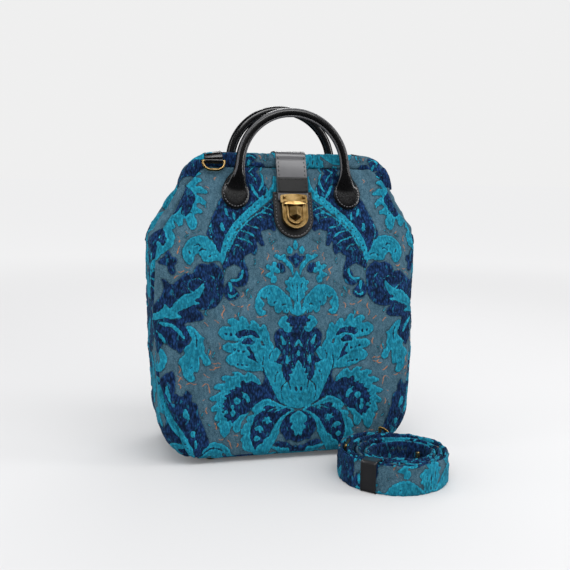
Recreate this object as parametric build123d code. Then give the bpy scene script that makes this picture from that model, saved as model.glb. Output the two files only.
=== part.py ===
from build123d import *
import math
import os

os.makedirs("parts", exist_ok=True)

# Carpet backpack with an internal hinged frame, rolled handles and a tuck lock,
# beside its own detachable strap, which lies coiled on edge on the same floor.
# The bag faces -Y, X runs along its width and the floor is Z = 0.

# Bag, floor to the top of the closed frame
bag_height = 320.0
bag_width = 297.0
base_width = 281.0
base_depth = 126.0
foot_height = 4.0
front_corner_radius = 46.0
base_edge_radius = 12.0
left_plan_radius = 18.0
right_plan_radius = 40.0
shoulder_drop = 95.0
hinge_drop = 38.0
side_fold_depth = 15.0
body_lean = 3.5
seam_setback = 13.0
panel_cut_width = 34.0
panel_cut_height = 78.0
panel_hem = 6.0

# Sheet materials
fabric_thickness = 3.0
lining_thickness = 1.0
board_thickness = 2.0
leather_thickness = 2.4
thin_leather = 1.5
layer_gap = 0.2
running_gap = 0.1
free_gap = 0.3

# Frame of two hinged steel bows, each in its own sleeve
sleeve_height = 16.0
sleeve_depth = 12.0
sleeve_edge_radius = 4.0
frame_span = 236.0
frame_corner_radius = 38.0
bow_height = 9.0
bow_thickness = 2.0
hinge_pin_radius = 2.0
hinge_head_radius = 3.6
hinge_head_thickness = 1.2

# Handles
handle_tab_spacing = 122.0
handle_leg_spacing = 114.0
front_handle_rise = 47.5
back_handle_rise = 53.5
handle_radius = 5.0
handle_tab_width = 29.0
handle_tab_height = 34.0
handle_tab_drop = 42.0
handle_tab_thickness = 3.4
handle_neck_length = 21.0
front_handle_reach = 19.0
back_handle_reach = 32.0

# Closure strap, lock patch and tuck lock
closure_width = 33.0
closure_front_drop = 50.5
closure_back_drop = 34.0
end_patch_height = 15.5
patch_width = 42.5
patch_top_drop = 41.0
patch_bottom_drop = 89.0
lock_width = 27.5
lock_length = 27.0
lock_drop = 67.0
lock_floor = 1.0
lock_cavity = 3.0
lock_face = 1.2
lock_rim_width = 1.5
lock_rim_height = 0.9
lock_ring_width = 18.5
lock_ring_height = 1.9
button_width = 12.0
button_length = 15.0
button_ridge = 3.6
button_travel = 1.8
tongue_plate_width = 29.0
tongue_plate_height = 10.5
tongue_plate_thickness = 1.3
tongue_lip_width = 23.0
rivet_radius = 1.3
prong_size = 2.4
button_inset = 3.6

# Rings on leather tabs
ring_wire = 1.5
ring_width = 25.5
ring_bow_depth = 11.0
ring_corner_radius = 8.2
ring_tab_width = 19.0
ring_pivot_drop = 9.5
ring_tab_tail = 8.0
ring_station = 83.0
low_ring_station = 96.0
low_ring_height = 66.0

# Feet and base board
foot_radius = 7.0
foot_flat_radius = 4.2
foot_station_x = 86.0
foot_station_y = 42.0
foot_shank_radius = 1.6
foot_rivet_radius = 3.2
foot_rivet_thickness = 0.8
board_width = 168.0
board_depth = 90.0

# Detached strap, coiled on its edge
strap_width = 29.0
strap_thickness = 4.4
coil_centre_x = 82.0
coil_centre_y = -129.0
coil_radius = 58.0
coil_turns = 3.57
coil_start_angle = 86.0
coil_inner_radius = 29.0
coil_inner_shift_x = 1.0
coil_inner_shift_y = -10.0
coil_squash = 0.3
keeper_angle = -138.0
keeper_width = 16.0
keeper_thickness = 1.1
slider_angle = 148.0
slider_length = 20.0
slider_bar = 2.2
end_loop_width = 23.0
end_loop_radius = 3.4
end_loop_offset = 1.8
eye_wire = 1.5
eye_height = 33.0
eye_depth = 12.0
swivel_radius = 1.6
swivel_boss_radius = 3.4
swivel_boss_length = 5.0
hook_width = 11.6
hook_length = 19.0
outer_eye_turn = 0.0
inner_eye_turn = 50.0
hook_wire = 1.7
gate_thickness = 2.4

# Woven ornament, raised above the ground weave
relief = 0.8
ornament_reach = 104.0

base_z = foot_height
sleeve_bottom = bag_height - sleeve_height
hinge_z = bag_height - hinge_drop
shoulder_z = bag_height - shoulder_drop
half_width = bag_width / 2
base_half_width = base_width / 2
base_half_depth = base_depth / 2
frame_half_span = frame_span / 2
mouth_half_depth = sleeve_depth + 2.0
sleeve_face = sleeve_depth + layer_gap / 2
sleeve_low = hinge_z + 4.0


def quarter_round(share):
    # Inward step of a quarter circle at this share of its height
    return 1 - math.sqrt(max(0.0, 1 - (1 - share) ** 2))


def body_stations():
    # Height, half width, half depth and side fold of the bag, from the base up
    rows = []
    for share in (0.0, 0.05, 0.14, 0.3, 0.55, 1.0):
        height = base_z + share * front_corner_radius
        width = base_half_width - front_corner_radius * quarter_round(share)
        edge_share = min(1.0, share * front_corner_radius / base_edge_radius)
        depth = base_half_depth - base_edge_radius * quarter_round(edge_share)
        rows.append((height, width, depth, 0.0))
    lower = base_z + front_corner_radius
    climb = shoulder_z - lower
    swell = half_width - base_half_width
    taper = base_half_depth - mouth_half_depth
    for share in (0.2, 0.4, 0.6, 0.8, 1.0):
        width = base_half_width + swell * math.sin(share * math.pi / 2)
        depth = base_half_depth - taper * 0.47 * share ** 1.6
        rows.append((lower + share * climb, width, depth, 0.0))
    neck = sleeve_bottom - shoulder_z
    mouth_half_width = frame_half_span - 4.0
    hinge_share = (hinge_z - shoulder_z) / neck
    for share, fold in ((0.17, 0.0), (0.3, 0.75), (0.45, 1.0), (0.6, 0.7), (hinge_share, 0.0), (1.0, 0.0)):
        ease = (1 + math.cos(math.pi * share)) / 2
        width = mouth_half_width + (half_width - mouth_half_width) * ease
        depth = mouth_half_depth + taper * 0.53 * (1 - share) ** 1.1
        rows.append((shoulder_z + share * neck, width, depth, side_fold_depth * fold))
    return rows


def depth_at(height):
    # Distance of the bag's front or back face from its middle plane
    rows = body_stations()
    if height >= rows[-1][0]:
        return rows[-1][2]
    for low, high in zip(rows, rows[1:]):
        if low[0] <= height <= high[0]:
            share = (height - low[0]) / (high[0] - low[0])
            return low[2] + share * (high[2] - low[2])
    return rows[0][2]


def body_section(height, width, depth, fold, inset):
    # Rounded rectangle whose two sides fold inwards at the middle
    w = width - inset
    d = depth - inset
    left = max(1.0, min(left_plan_radius, 0.55 * depth) - inset)
    right = max(1.0, min(right_plan_radius, 0.8 * depth) - inset)
    sag = max(0.0, min(1.0, (sleeve_bottom - height) / (sleeve_bottom - shoulder_z)))
    centre = -body_lean * sag
    rise = 1 - math.sqrt(0.5)

    def point(sx, sy, from_side, from_face):
        return Vector(centre + sx * (w - from_side), sy * (d - from_face), height)

    def corner(sx, sy, r):
        return [point(sx, sy, 0, r), point(sx, sy, r * rise, r * rise), point(sx, sy, r, 0)]

    front_left = corner(-1, -1, left)
    front_right = corner(1, -1, right)
    back_right = corner(1, 1, right)
    back_left = corner(-1, 1, left)
    right_fold = Vector(centre + w - fold, 0, height)
    left_fold = Vector(centre - w + fold, 0, height)
    return Face(Wire([
        Line(front_left[2], front_right[2]),
        ThreePointArc(*reversed(front_right)),
        Line(front_right[0], right_fold),
        Line(right_fold, back_right[0]),
        ThreePointArc(*back_right),
        Line(back_right[2], back_left[2]),
        ThreePointArc(*reversed(back_left)),
        Line(back_left[0], left_fold),
        Line(left_fold, front_left[0]),
        ThreePointArc(*front_left),
    ]))


def body_envelope(inset, floor_rise=0.0):
    # The bag's outer form, or one that lies this far inside it
    sections = []
    for height, width, depth, fold in body_stations():
        fade = max(0.0, 1 - (height - base_z) / front_corner_radius)
        lift = (inset + floor_rise) * fade
        sections.append(body_section(height + lift, width, depth, fold, inset))
    return loft(sections, ruled=True)


def side_face(front_grow, back_grow, top_grow):
    # Y-Z face of the bag and its closed frame, grown by these amounts
    rows = [(row[0], row[2]) for row in body_stations()]
    rows.append((sleeve_bottom + sleeve_edge_radius, sleeve_face))
    front = [(-depth - front_grow, height) for height, depth in rows]
    back = [(depth + back_grow, height) for height, depth in rows]
    top = bag_height + top_grow
    outline = Polyline(*reversed(front), *back)
    left = -sleeve_face - front_grow
    right = sleeve_face + back_grow
    front_radius = sleeve_edge_radius + front_grow
    back_radius = sleeve_edge_radius + back_grow
    front_edge = Vector(left + front_radius, top)
    back_edge = Vector(right - back_radius, top)
    cap = Polyline(back[-1], (right, top - back_radius))
    cap += RadiusArc((right, top - back_radius), back_edge, -back_radius)
    cap += Line(back_edge, front_edge)
    cap += RadiusArc(front_edge, (left, top - front_radius), -front_radius)
    cap += Line((left, top - front_radius), front[-1])
    return Plane.YZ * make_face(outline + cap)


def side_band(inner, outer, low_front, low_back, width, x=0.0):
    # Sheet that follows the bag's side profile over the closed frame
    band = side_face(*outer) - side_face(*inner)
    reach = base_depth
    high = bag_height + reach
    front = Plane.YZ * Pos(-reach / 2, (low_front + high) / 2) * Rectangle(reach, high - low_front)
    back = Plane.YZ * Pos(reach / 2, (low_back + high) / 2) * Rectangle(reach, high - low_back)
    kept = band & (front + back)
    return Pos(x - width / 2, 0, 0) * extrude(kept, width, dir=(1, 0, 0))


def upright_prism(face, depth_from, depth_to):
    # Prism along Y from a face drawn with X to the right and Z up
    stood = Plane.XZ * face
    return Pos(0, depth_from, 0) * extrude(stood, depth_to - depth_from, dir=(0, 1, 0))


def bow_path():
    # Middle line of a frame bow or sleeve, from one side over the top to the other
    x = frame_half_span - sleeve_height / 2
    z = bag_height - sleeve_height / 2
    low = hinge_z - sleeve_height
    corner = frame_corner_radius - sleeve_height / 2
    return FilletPolyline((-x, 0, low), (-x, 0, z), (x, 0, z), (x, 0, low), radius=corner)


def bow_sweep(height, thickness, low, y, round_radius=0.0):
    path = bow_path()
    start = Plane(origin=path @ 0, x_dir=(1, 0, 0), z_dir=path % 0)
    if round_radius:
        profile = start * RectangleRounded(height, thickness, round_radius)
    else:
        profile = start * Rectangle(height, thickness)
    bow = sweep(profile, path) & Pos(0, 0, low + bag_height / 2) * Box(bag_width, base_depth, bag_height)
    return Pos(0, y, 0) * bow


def make_shell():
    outer = body_envelope(0)
    inner = body_envelope(fabric_thickness)
    return outer - inner


def panel_outline():
    # Front view of a main panel, its lower corners cut off above the gusset
    centre = -body_lean
    low = base_z + panel_hem
    left = centre - base_half_width - seam_setback
    right = centre + base_half_width + seam_setback
    inner_left = centre - base_half_width + panel_cut_width
    inner_right = centre + base_half_width - panel_cut_width
    cut_top = low + panel_cut_height
    edge = base_half_width + seam_setback
    return make_face(Polyline(
        (inner_left, low), (inner_right, low), (right - seam_setback, cut_top), (centre + edge, cut_top + panel_hem),
        (centre + edge, bag_height), (centre - edge, bag_height), (left, cut_top + panel_hem), (left + seam_setback, cut_top),
        close=True))


def panel_region(side):
    # Space in front of the seam line, for side -1, or behind it, for side 1
    rows = [(row[0], row[2] - min(seam_setback, 0.5 * row[2])) for row in body_stations()]
    far = side * base_depth
    points = [(side * depth, height) for height, depth in rows]
    points += [(far, rows[-1][0] + 1), (far, rows[0][0] - 1)]
    slab = extrude(make_face(Plane.YZ * Polyline(*points, close=True)), bag_width, dir=(1, 0, 0), both=True)
    window = upright_prism(panel_outline(), -base_depth, base_depth)
    return slab & window


def sleeve_space():
    # Room for both sleeves in the top of the body
    grow = 2 * layer_gap
    return bow_sweep(sleeve_height + grow, 2 * sleeve_face + grow, sleeve_low - 1.0, 0)


def largest(shape):
    return shape.solids().sort_by(SortBy.VOLUME)[-1]


def make_panels():
    shell = make_shell() - sleeve_space()
    front = shell & panel_region(-1)
    back = shell & panel_region(1)
    gusset = shell - panel_region(-1) - panel_region(1)
    gusset -= Pos(0, 0, sleeve_low - free_gap + bag_height / 2) * Box(2 * bag_width, bag_width, bag_height)
    return largest(front), largest(back), largest(gusset)


def make_lining():
    inset = fabric_thickness + layer_gap
    rise = board_thickness + foot_rivet_thickness + 2 * layer_gap
    lining = body_envelope(inset, rise) - body_envelope(inset + lining_thickness, rise)
    hinge_room = frame_span / 2 - sleeve_height - 4
    for side in (-1, 1):
        block = Box(60, base_depth, sleeve_bottom - hinge_z + 24)
        lining -= Pos(side * (hinge_room + 30), 0, (sleeve_bottom + hinge_z) / 2) * block
    return lining - sleeve_space()


def make_sleeve(side):
    y = side * (sleeve_depth / 2 + layer_gap / 2)
    casing = bow_sweep(sleeve_height, sleeve_depth, sleeve_low, y, sleeve_edge_radius)
    room = bow_sweep(bow_height + 2 * free_gap, bow_thickness + 2 * free_gap, sleeve_low, y)
    return casing - room


def make_bow(side):
    y = side * (sleeve_depth / 2 + layer_gap / 2)
    low = hinge_z
    x = frame_half_span - sleeve_height / 2
    bow = bow_sweep(bow_height, bow_thickness, low, y)
    for end in (-1, 1):
        ear = Pos(end * x, y, low) * Rot(90, 0, 0) * Cylinder(bow_height / 2, bow_thickness)
        hole = Pos(end * x, y, low) * Rot(90, 0, 0) * Cylinder(hinge_pin_radius + running_gap, 3 * bow_thickness)
        bow = bow + ear - hole
    return bow


def make_hinge_pin(side):
    # Rivet with a spacing collar between the two bows
    x = side * (frame_half_span - sleeve_height / 2)
    bow_y = sleeve_depth / 2 + layer_gap / 2
    collar = 2 * (bow_y - bow_thickness / 2 - running_gap)
    grip = 2 * (bow_y + bow_thickness / 2 + running_gap)
    pin = Cylinder(hinge_pin_radius, grip) + Cylinder(hinge_head_radius, collar)
    for end in (-1, 1):
        pin += Pos(0, 0, end * (grip + hinge_head_thickness) / 2) * Cylinder(hinge_head_radius, hinge_head_thickness)
    return Pos(x, 0, hinge_z) * Rot(90, 0, 0) * pin


def make_base_board():
    z = base_z + fabric_thickness + layer_gap + board_thickness / 2
    board = Pos(-body_lean, 0, z) * extrude(RectangleRounded(board_width, board_depth, left_plan_radius),
                                            board_thickness / 2, both=True)
    for x, y in foot_places():
        board -= Pos(x, y, z) * Cylinder(foot_shank_radius + running_gap, 2 * board_thickness)
    return board


def foot_places():
    places = []
    for sy in (-1, 1):
        for sx in (-1, 1):
            places.append((sx * foot_station_x - body_lean, sy * foot_station_y))
    return places


def make_foot(x, y):
    # Domed stud on a shank that is spread over the base board
    wall = fabric_thickness + board_thickness + 2 * layer_gap
    head = base_z + wall + foot_rivet_thickness
    skirt = ThreePointArc((foot_flat_radius, 0), (foot_radius - 1.0, 1.2), (foot_radius, base_z - layer_gap))
    outline = Polyline(
        (foot_radius, base_z - layer_gap), (foot_shank_radius, base_z - layer_gap), (foot_shank_radius, base_z + wall),
        (foot_rivet_radius, base_z + wall), (foot_rivet_radius, head), (0, head), (0, 0), (foot_flat_radius, 0))
    return Pos(x, y, 0) * revolve(Plane.XZ * make_face(skirt + outline), Axis.Z)


def handle_frame(side, tab_z, reach, top_z):
    # Leaning plane of one handle, from its tabs to the top of its arch
    start = depth_at(tab_z) + layer_gap + handle_radius + free_gap
    rise = Vector(0, side * (reach - start), top_z - tab_z)
    return Plane(origin=(0, side * start, tab_z), x_dir=(1, 0, 0), z_dir=Vector(1, 0, 0).cross(rise)), rise.length


def make_handle(side, handle_rise, reach, tab_z):
    top_z = bag_height + handle_rise - handle_radius
    plane, climb = handle_frame(side, tab_z, reach, top_z)
    radius = handle_leg_spacing / 2
    centre = climb - radius
    start = Vector(-handle_tab_spacing / 2, handle_neck_length * 0.2)
    to_centre = Vector(0, centre) - start
    turn = math.asin(radius / to_centre.length)
    heading = math.atan2(to_centre.Y, to_centre.X) + turn
    run = math.sqrt(to_centre.length ** 2 - radius ** 2)
    touch = start + Vector(math.cos(heading), math.sin(heading)) * run
    mirrored_touch = Vector(-touch.X, touch.Y)
    end = Vector(-start.X, start.Y)
    path = Line(start, touch) + ThreePointArc(touch, (0, centre + radius), mirrored_touch) + Line(mirrored_touch, end)
    path = Wire(path.edges())
    first = Plane(origin=start, x_dir=(0, 0, 1), z_dir=(touch - start).normalized())
    rod = plane * sweep(first * Circle(handle_radius), path)
    for sx in (-1, 1):
        rod += make_handle_tab(side, sx * handle_tab_spacing / 2, tab_z)
        rod += make_handle_neck(side, sx * handle_tab_spacing / 2, tab_z, plane)
    return rod


def make_handle_tab(side, x, tab_z):
    inner = layer_gap
    outer = layer_gap + handle_tab_thickness
    low = tab_z - handle_tab_height
    if side < 0:
        band = side_band((inner, 0, 0), (outer, 0, 0), low, bag_height + 50, 2 * handle_tab_width, x)
    else:
        band = side_band((0, inner, 0), (0, outer, 0), bag_height + 50, low, 2 * handle_tab_width, x)
    outline = Pos(x, tab_z) * Ellipse(handle_tab_width / 2, handle_tab_height / 2)
    return band & upright_prism(outline, -base_depth, base_depth)


def make_handle_neck(side, x, tab_z, plane):
    # The rolled end of the handle flattens into its tab
    low = tab_z - 0.1 * handle_tab_height
    flat_y = side * (depth_at(low) + layer_gap + handle_tab_thickness / 2)
    rod_point = plane.from_local_coords((x * 0.985, handle_neck_length, 0))
    rod_face = Plane(origin=rod_point, x_dir=(1, 0, 0), z_dir=plane.y_dir) * Circle(handle_radius)
    flat = Plane(origin=(x, flat_y, low), x_dir=(1, 0, 0), z_dir=plane.y_dir)
    return loft([flat * Ellipse(handle_tab_width * 0.36, handle_tab_thickness * 0.45), rod_face])


def lock_frame():
    # Leaning plane on the lock patch: X right, Y up along the panel, Z outwards
    z = bag_height - lock_drop
    span = lock_length / 2
    slope = (depth_at(z - span) - depth_at(z + span)) / (2 * span)
    lean = math.atan(slope)
    stack = layer_gap + leather_thickness
    normal = Vector(0, -math.cos(lean), math.sin(lean))
    origin = Vector(0, -depth_at(z) - stack / math.cos(lean), z) + normal * free_gap
    return Plane(origin=origin, x_dir=(1, 0, 0), z_dir=normal)


def lock_outline(width, low, high):
    # U shape with a round lower end
    r = width / 2
    lower = ThreePointArc((-r, low + r), (0, low), (r, low + r))
    upper = Polyline((r, low + r), (r, high), (-r, high), (-r, low + r))
    return make_face(lower + upper)


def make_lock_patch():
    low = bag_height - patch_bottom_drop
    high = bag_height - patch_top_drop
    inner = layer_gap
    outer = layer_gap + leather_thickness
    band = side_band((inner, 0, 0), (outer, 0, 0), low - 5, bag_height + 50, patch_width * 1.2)
    outline = lock_outline(patch_width, low, high)
    return band & upright_prism(outline, -base_depth, 0)


def make_closure_strap():
    inner = leather_thickness + 2 * layer_gap + free_gap
    outer = inner + leather_thickness
    low_front = bag_height - closure_front_drop
    low_back = bag_height - closure_back_drop
    return side_band(
        (inner, layer_gap, layer_gap),
        (outer, layer_gap + leather_thickness, layer_gap + leather_thickness),
        low_front, low_back, closure_width)


def make_end_patch():
    inner = 2 * leather_thickness + 3 * layer_gap + free_gap
    low = bag_height - closure_front_drop + tongue_plate_height - 2.0
    band = side_band((inner, 0, 0), (inner + thin_leather, 0, 0), low, bag_height + 50, closure_width)
    window = Pos(0, -base_depth / 2, low + end_patch_height / 2) * Box(closure_width, base_depth, end_patch_height)
    return band & window


def lock_levels():
    face_bottom = lock_floor + lock_cavity
    face_top = face_bottom + lock_face
    return face_bottom, face_top


def make_lock_body():
    face_bottom, face_top = lock_levels()
    low = -lock_length / 2
    high = lock_length / 2
    outer = lock_outline(lock_width, low, high)
    inner = lock_outline(lock_width - 2 * lock_rim_width, low + lock_rim_width, high - lock_rim_width)
    body = extrude(outer, face_top + lock_rim_height)
    body -= Pos(0, 0, lock_floor) * extrude(inner, lock_cavity)
    body -= Pos(0, 0, face_top) * extrude(inner, lock_rim_height)
    ring_low = low + (lock_width - lock_ring_width) / 2
    ring = lock_outline(lock_ring_width, ring_low, high)
    hollow = lock_outline(lock_ring_width - 2 * lock_rim_width, ring_low + lock_rim_width, high + 1)
    body += Pos(0, 0, face_top) * (extrude(ring, lock_ring_height) - extrude(hollow, lock_ring_height))
    body -= extrude(button_outline(free_gap), face_top + lock_ring_height)  - extrude(outer, lock_floor)
    slot = tongue_width() + 2 * free_gap
    body -= Pos(0, high, lock_floor + lock_cavity / 2) * Box(slot, 4 * lock_rim_width, lock_cavity)
    for x in prong_places():
        body += Pos(x, 0, -prong_length() / 2) * Box(prong_size, prong_size / 2, prong_length())
    return lock_frame() * body


def prong_places():
    return (-lock_width / 4, lock_width / 4)


def prong_length():
    return leather_thickness + fabric_thickness + lining_thickness + 4 * layer_gap + free_gap + 1.6


def tongue_width():
    return lock_ring_width * 0.8


def button_outline(grow):
    # Front view of the button: straight sides and a blunt point below
    w = button_width / 2 + grow
    top = lock_length / 2 - button_inset + grow
    low = top - button_length - 2 * grow
    shoulder = low + button_length * 0.3
    return make_face(Polyline((-w, top), (-w, shoulder), (0, low), (w, shoulder), (w, top), close=True))


def make_button():
    face_bottom, face_top = lock_levels()
    flange_thickness = lock_cavity - button_travel - 2 * free_gap
    flange_z = face_bottom - free_gap / 2 - flange_thickness
    height = face_top + lock_ring_height + 1.0
    stem = Pos(0, 0, flange_z) * extrude(button_outline(0), height + button_ridge - flange_z)
    w = button_width
    roof = Plane.XZ * make_face(Polyline(
        (-w, 0), (-w, height - 1.0), (-w / 2, height - 1.0), (0.8, height + button_ridge - 1.0), (w / 2, height - 0.4),
        (w, height - 0.4), (w, 0), close=True))
    stem &= extrude(roof, lock_length, both=True)
    tip_z = height + button_ridge
    top = lock_length / 2 - button_inset
    low = top - button_length
    nose = Plane.YZ * make_face(Polyline(
        (low - 1, 0), (low - 1, height - 2.2), (low + button_length * 0.42, tip_z), (top + 1, tip_z), (top + 1, 0), close=True))
    stem &= extrude(nose, button_width, both=True)
    flange = Pos(0, 0, flange_z) * extrude(button_outline(1.4), flange_thickness)
    flange -= Pos(0, top + 10 - free_gap, 0) * Box(40, 20, 40)
    return lock_frame() * (stem + flange)


def make_lock_spring():
    # Bowed leaf between the lock's floor and the button's flange
    face_bottom, face_top = lock_levels()
    flange_thickness = lock_cavity - button_travel - 2 * free_gap
    under = face_bottom - free_gap / 2 - flange_thickness - layer_gap / 2
    leaf = 0.3
    y = lock_length / 2 - button_inset - button_length * 0.55
    floor_level = lock_floor + layer_gap / 2
    half = button_width * 0.45
    crown = ThreePointArc((-half, floor_level), (0, under - leaf), (half, floor_level))
    back = ThreePointArc((half, floor_level + leaf), (0, under), (-half, floor_level + leaf))
    ends = Line((half, floor_level), (half, floor_level + leaf)) + Line((-half, floor_level + leaf), (-half, floor_level))
    leaf_face = make_face(crown + ends + back)
    return lock_frame() * Pos(0, y, 0) * extrude(Plane.XZ * leaf_face, 2.0, both=True)


def make_lock_back_plate():
    depth = prong_length() - 1.2
    plate = Pos(0, 0, -depth - 0.5) * Box(lock_width * 0.8, lock_length * 0.6, 0.8)
    for x in prong_places():
        plate -= Pos(x, 0, -depth) * Box(prong_size + layer_gap, prong_size / 2 + layer_gap, 6)
    return lock_frame() * plate


def tongue_levels():
    # Back and front of the strap's end, seen from the lock patch
    back = layer_gap + free_gap
    front = back + leather_thickness + free_gap
    return back, front


def make_tongue_plate():
    face_bottom, face_top = lock_levels()
    back, front = tongue_levels()
    top = lock_length / 2
    plate_low = top + 0.6
    plate = Pos(0, plate_low + tongue_plate_height / 2, front + tongue_plate_thickness / 2) * extrude(
        RectangleRounded(tongue_plate_width, tongue_plate_height, 1.2), tongue_plate_thickness / 2, both=True)
    lip_back = face_top + lock_ring_height + free_gap
    lip_front = lip_back + tongue_plate_thickness
    lip_low = top - 2.6
    lip_face = Plane.YZ * make_face(Polyline(
        (plate_low, front), (plate_low + 2.4, front), (plate_low + 2.4, front + tongue_plate_thickness),
        (top + 1.4, lip_front), (lip_low, lip_front - 0.4), (lip_low, lip_back), (plate_low, lip_back), close=True))
    lip = extrude(lip_face, tongue_lip_width / 2, both=True)
    curve = Pos(0, lip_low + tongue_lip_width * 0.9, 0) * Cylinder(tongue_lip_width * 0.98, 60)
    lip &= curve
    tongue_z = lock_floor + lock_cavity - free_gap - 1.1
    reach = 3.8
    web = Pos(0, plate_low + 0.45, (tongue_z + front + 1) / 2) * Box(tongue_width(), 0.9, front + 1 - tongue_z)
    tongue = Pos(0, plate_low + 0.9 - (reach + 0.9) / 2, tongue_z + 0.5) * Box(tongue_width(), reach + 0.9, 1.0)
    plate = plate + lip + web + tongue
    for x in rivet_places():
        plate -= Pos(x, rivet_height(), front) * Cylinder(rivet_radius + running_gap, 20)
    return lock_frame() * plate


def rivet_places():
    return (-tongue_plate_width * 0.36, tongue_plate_width * 0.36)


def rivet_height():
    return lock_length / 2 + 0.6 + tongue_plate_height * 0.62


def make_tongue_rivet(x):
    back, front = tongue_levels()
    grip_low = back - layer_gap
    grip_high = front + tongue_plate_thickness + running_gap
    shank = Pos(0, 0, (grip_low + grip_high) / 2) * Cylinder(rivet_radius, grip_high - grip_low)
    head = Pos(0, 0, grip_high) * Sphere(rivet_radius * 1.35)
    head &= Pos(0, 0, grip_high + 5) * Box(10, 10, 10)
    return lock_frame() * Pos(x, rivet_height(), 0) * (shank + head)


def rivet_room():
    back, front = tongue_levels()
    room = Part()
    for x in rivet_places():
        room += Pos(x, rivet_height(), front) * Cylinder(rivet_radius + running_gap, 20)
    return lock_frame() * room


def prong_room():
    room = Part()
    for x in prong_places():
        room += Pos(x, 0, -prong_length() / 2) * Box(
            prong_size + 2 * layer_gap, prong_size / 2 + 2 * layer_gap, prong_length() + 6)
    return lock_frame() * room


def ring_pivot(side, pivot_z):
    # Y of the ring's straight bar, clear of the tab's back layer
    face = sleeve_face if pivot_z > sleeve_bottom else depth_at(pivot_z)
    return side * (face + layer_gap + thin_leather + ring_wire + free_gap)


def ring_rest_angle(side, pivot_z):
    # Tilt that lets the bow lie on the bag below its bar
    y = abs(ring_pivot(side, pivot_z))
    worst = 0.0
    for share in (0.5, 0.75, 1.0):
        drop = ring_bow_depth * share + (ring_wire if share == 1.0 else 0)
        needed = depth_at(pivot_z - drop) + ring_wire + free_gap
        if pivot_z - drop > pivot_z - ring_tab_tail:
            needed += thin_leather + layer_gap
        worst = max(worst, math.atan2(needed - y, drop))
    return math.degrees(worst)


def make_ring(side, x, pivot_z):
    half = ring_width / 2 - ring_wire
    drop = ring_bow_depth - ring_wire
    bow = FilletPolyline((-half, 0), (-half, -drop), (half, -drop), (half, 0), radius=ring_corner_radius)
    start = Plane(origin=bow @ 0, z_dir=bow % 0)
    ring = sweep(start * Circle(ring_wire), bow)
    ring += Rot(0, 90, 0) * Cylinder(ring_wire, 2 * half)
    for end in (-1, 1):
        ring += Pos(end * half, 0, 0) * Sphere(ring_wire)
    tilt = ring_rest_angle(side, pivot_z)
    stood = Rot(90, 0, 0) * ring
    return Pos(x, ring_pivot(side, pivot_z), pivot_z) * Rot(side * tilt, 0, 0) * stood


def make_ring_tab(side, x, pivot_z, over_top):
    high = bag_height + 20 if over_top else pivot_z + ring_tab_tail
    low = pivot_z - ring_tab_tail
    grow = layer_gap + thin_leather
    never = bag_height + 50
    if side < 0:
        band = side_band((layer_gap, 0, layer_gap), (grow, 0, grow), low, never, ring_tab_width, x)
        upper = side_band((grow, 0, grow), (grow + thin_leather, 0, grow), pivot_z, never, ring_tab_width, x)
    else:
        band = side_band((0, layer_gap, layer_gap), (0, grow, grow), never, low, ring_tab_width, x)
        upper = side_band((0, grow, grow), (0, grow + thin_leather, grow), never, pivot_z, ring_tab_width, x)
    top_limit = high if not over_top else bag_height - 1
    upper &= Pos(x, side * base_depth / 2, pivot_z + 50) * Box(60, base_depth, 100)
    upper &= Pos(x, 0, top_limit - 200) * Box(60, 4 * base_depth, 400)
    band &= Pos(x, side * base_depth / 2, high - 200) * Box(60, base_depth, 400)
    y = ring_pivot(side, pivot_z)
    tunnel = Pos(x, y, pivot_z) * Rot(0, 90, 0) * Cylinder(ring_wire + running_gap + 1.2, ring_tab_width)
    bore = Pos(x, y, pivot_z) * Rot(0, 90, 0) * Cylinder(ring_wire + running_gap, 2 * ring_tab_width)
    return band + upper + tunnel - bore


def coil_point(turn):
    # Middle of the strap after this many turns from its outer end
    share = turn / coil_turns
    angle = math.radians(coil_start_angle) + 2 * math.pi * turn
    outer = coil_radius - strap_thickness / 2
    radius = outer + (coil_inner_radius - outer) * share
    x = coil_centre_x + coil_inner_shift_x * share + radius * math.cos(angle)
    y = coil_centre_y + coil_inner_shift_y * share + radius * (1 - coil_squash * share ** 2) * math.sin(angle)
    return Vector(x, y)


def coil_heading(turn):
    step = 0.002
    return (coil_point(turn + step) - coil_point(turn - step)).normalized()


def coil_side(turn, offset):
    heading = coil_heading(turn)
    return coil_point(turn) + Vector(-heading.Y, heading.X) * offset


def coil_turn_at(angle, lap):
    # Turns from the outer end to the place that lies at this angle on this lap
    return ((angle - coil_start_angle) % 360) / 360 + lap


def coil_plane(turn):
    # Upright frame on the strap: X along it, Y towards the coil's middle, Z up
    heading = coil_heading(turn)
    return Plane(origin=coil_point(turn), x_dir=heading, z_dir=(0, 0, 1))


def make_strap():
    steps = int(coil_turns * 6)
    half = strap_thickness / 2
    edges = []
    for i in range(steps):
        spots = [coil_turns * (i + part) / steps for part in (0.0, 0.5, 1.0)]
        edges.append(ThreePointArc(*[coil_side(t, -half) for t in spots]))
        edges.append(ThreePointArc(*[coil_side(t, half) for t in spots]))
    for end in (0.0, coil_turns):
        edges.append(Line(coil_side(end, -half), coil_side(end, half)))
    strap = extrude(make_face(edges), strap_width)
    loops = []
    rooms = [keeper_room(), slider_room()]
    for turn, way in ((0.0, -1), (coil_turns, 1)):
        plane = coil_plane(turn)
        bar = plane * Pos(way * end_loop_offset, 0, eye_centre_z())
        loops.append(bar * Cylinder(end_loop_radius, end_loop_width))
        rooms.append(bar * Cylinder(eye_wire + running_gap, 2 * strap_width))
        trim = Box(16, 2 * end_loop_radius, strap_width)
        drop = (end_loop_width + strap_width) / 2
        rooms.append(bar * Pos(0, 0, -drop) * trim)
        rooms.append(bar * Pos(0, 0, drop) * trim)
    return strap + loops - rooms


def eye_centre_z():
    return eye_height / 2 + layer_gap


def keeper_turns():
    return coil_turn_at(keeper_angle, 0), coil_turn_at(keeper_angle, 1)


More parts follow.
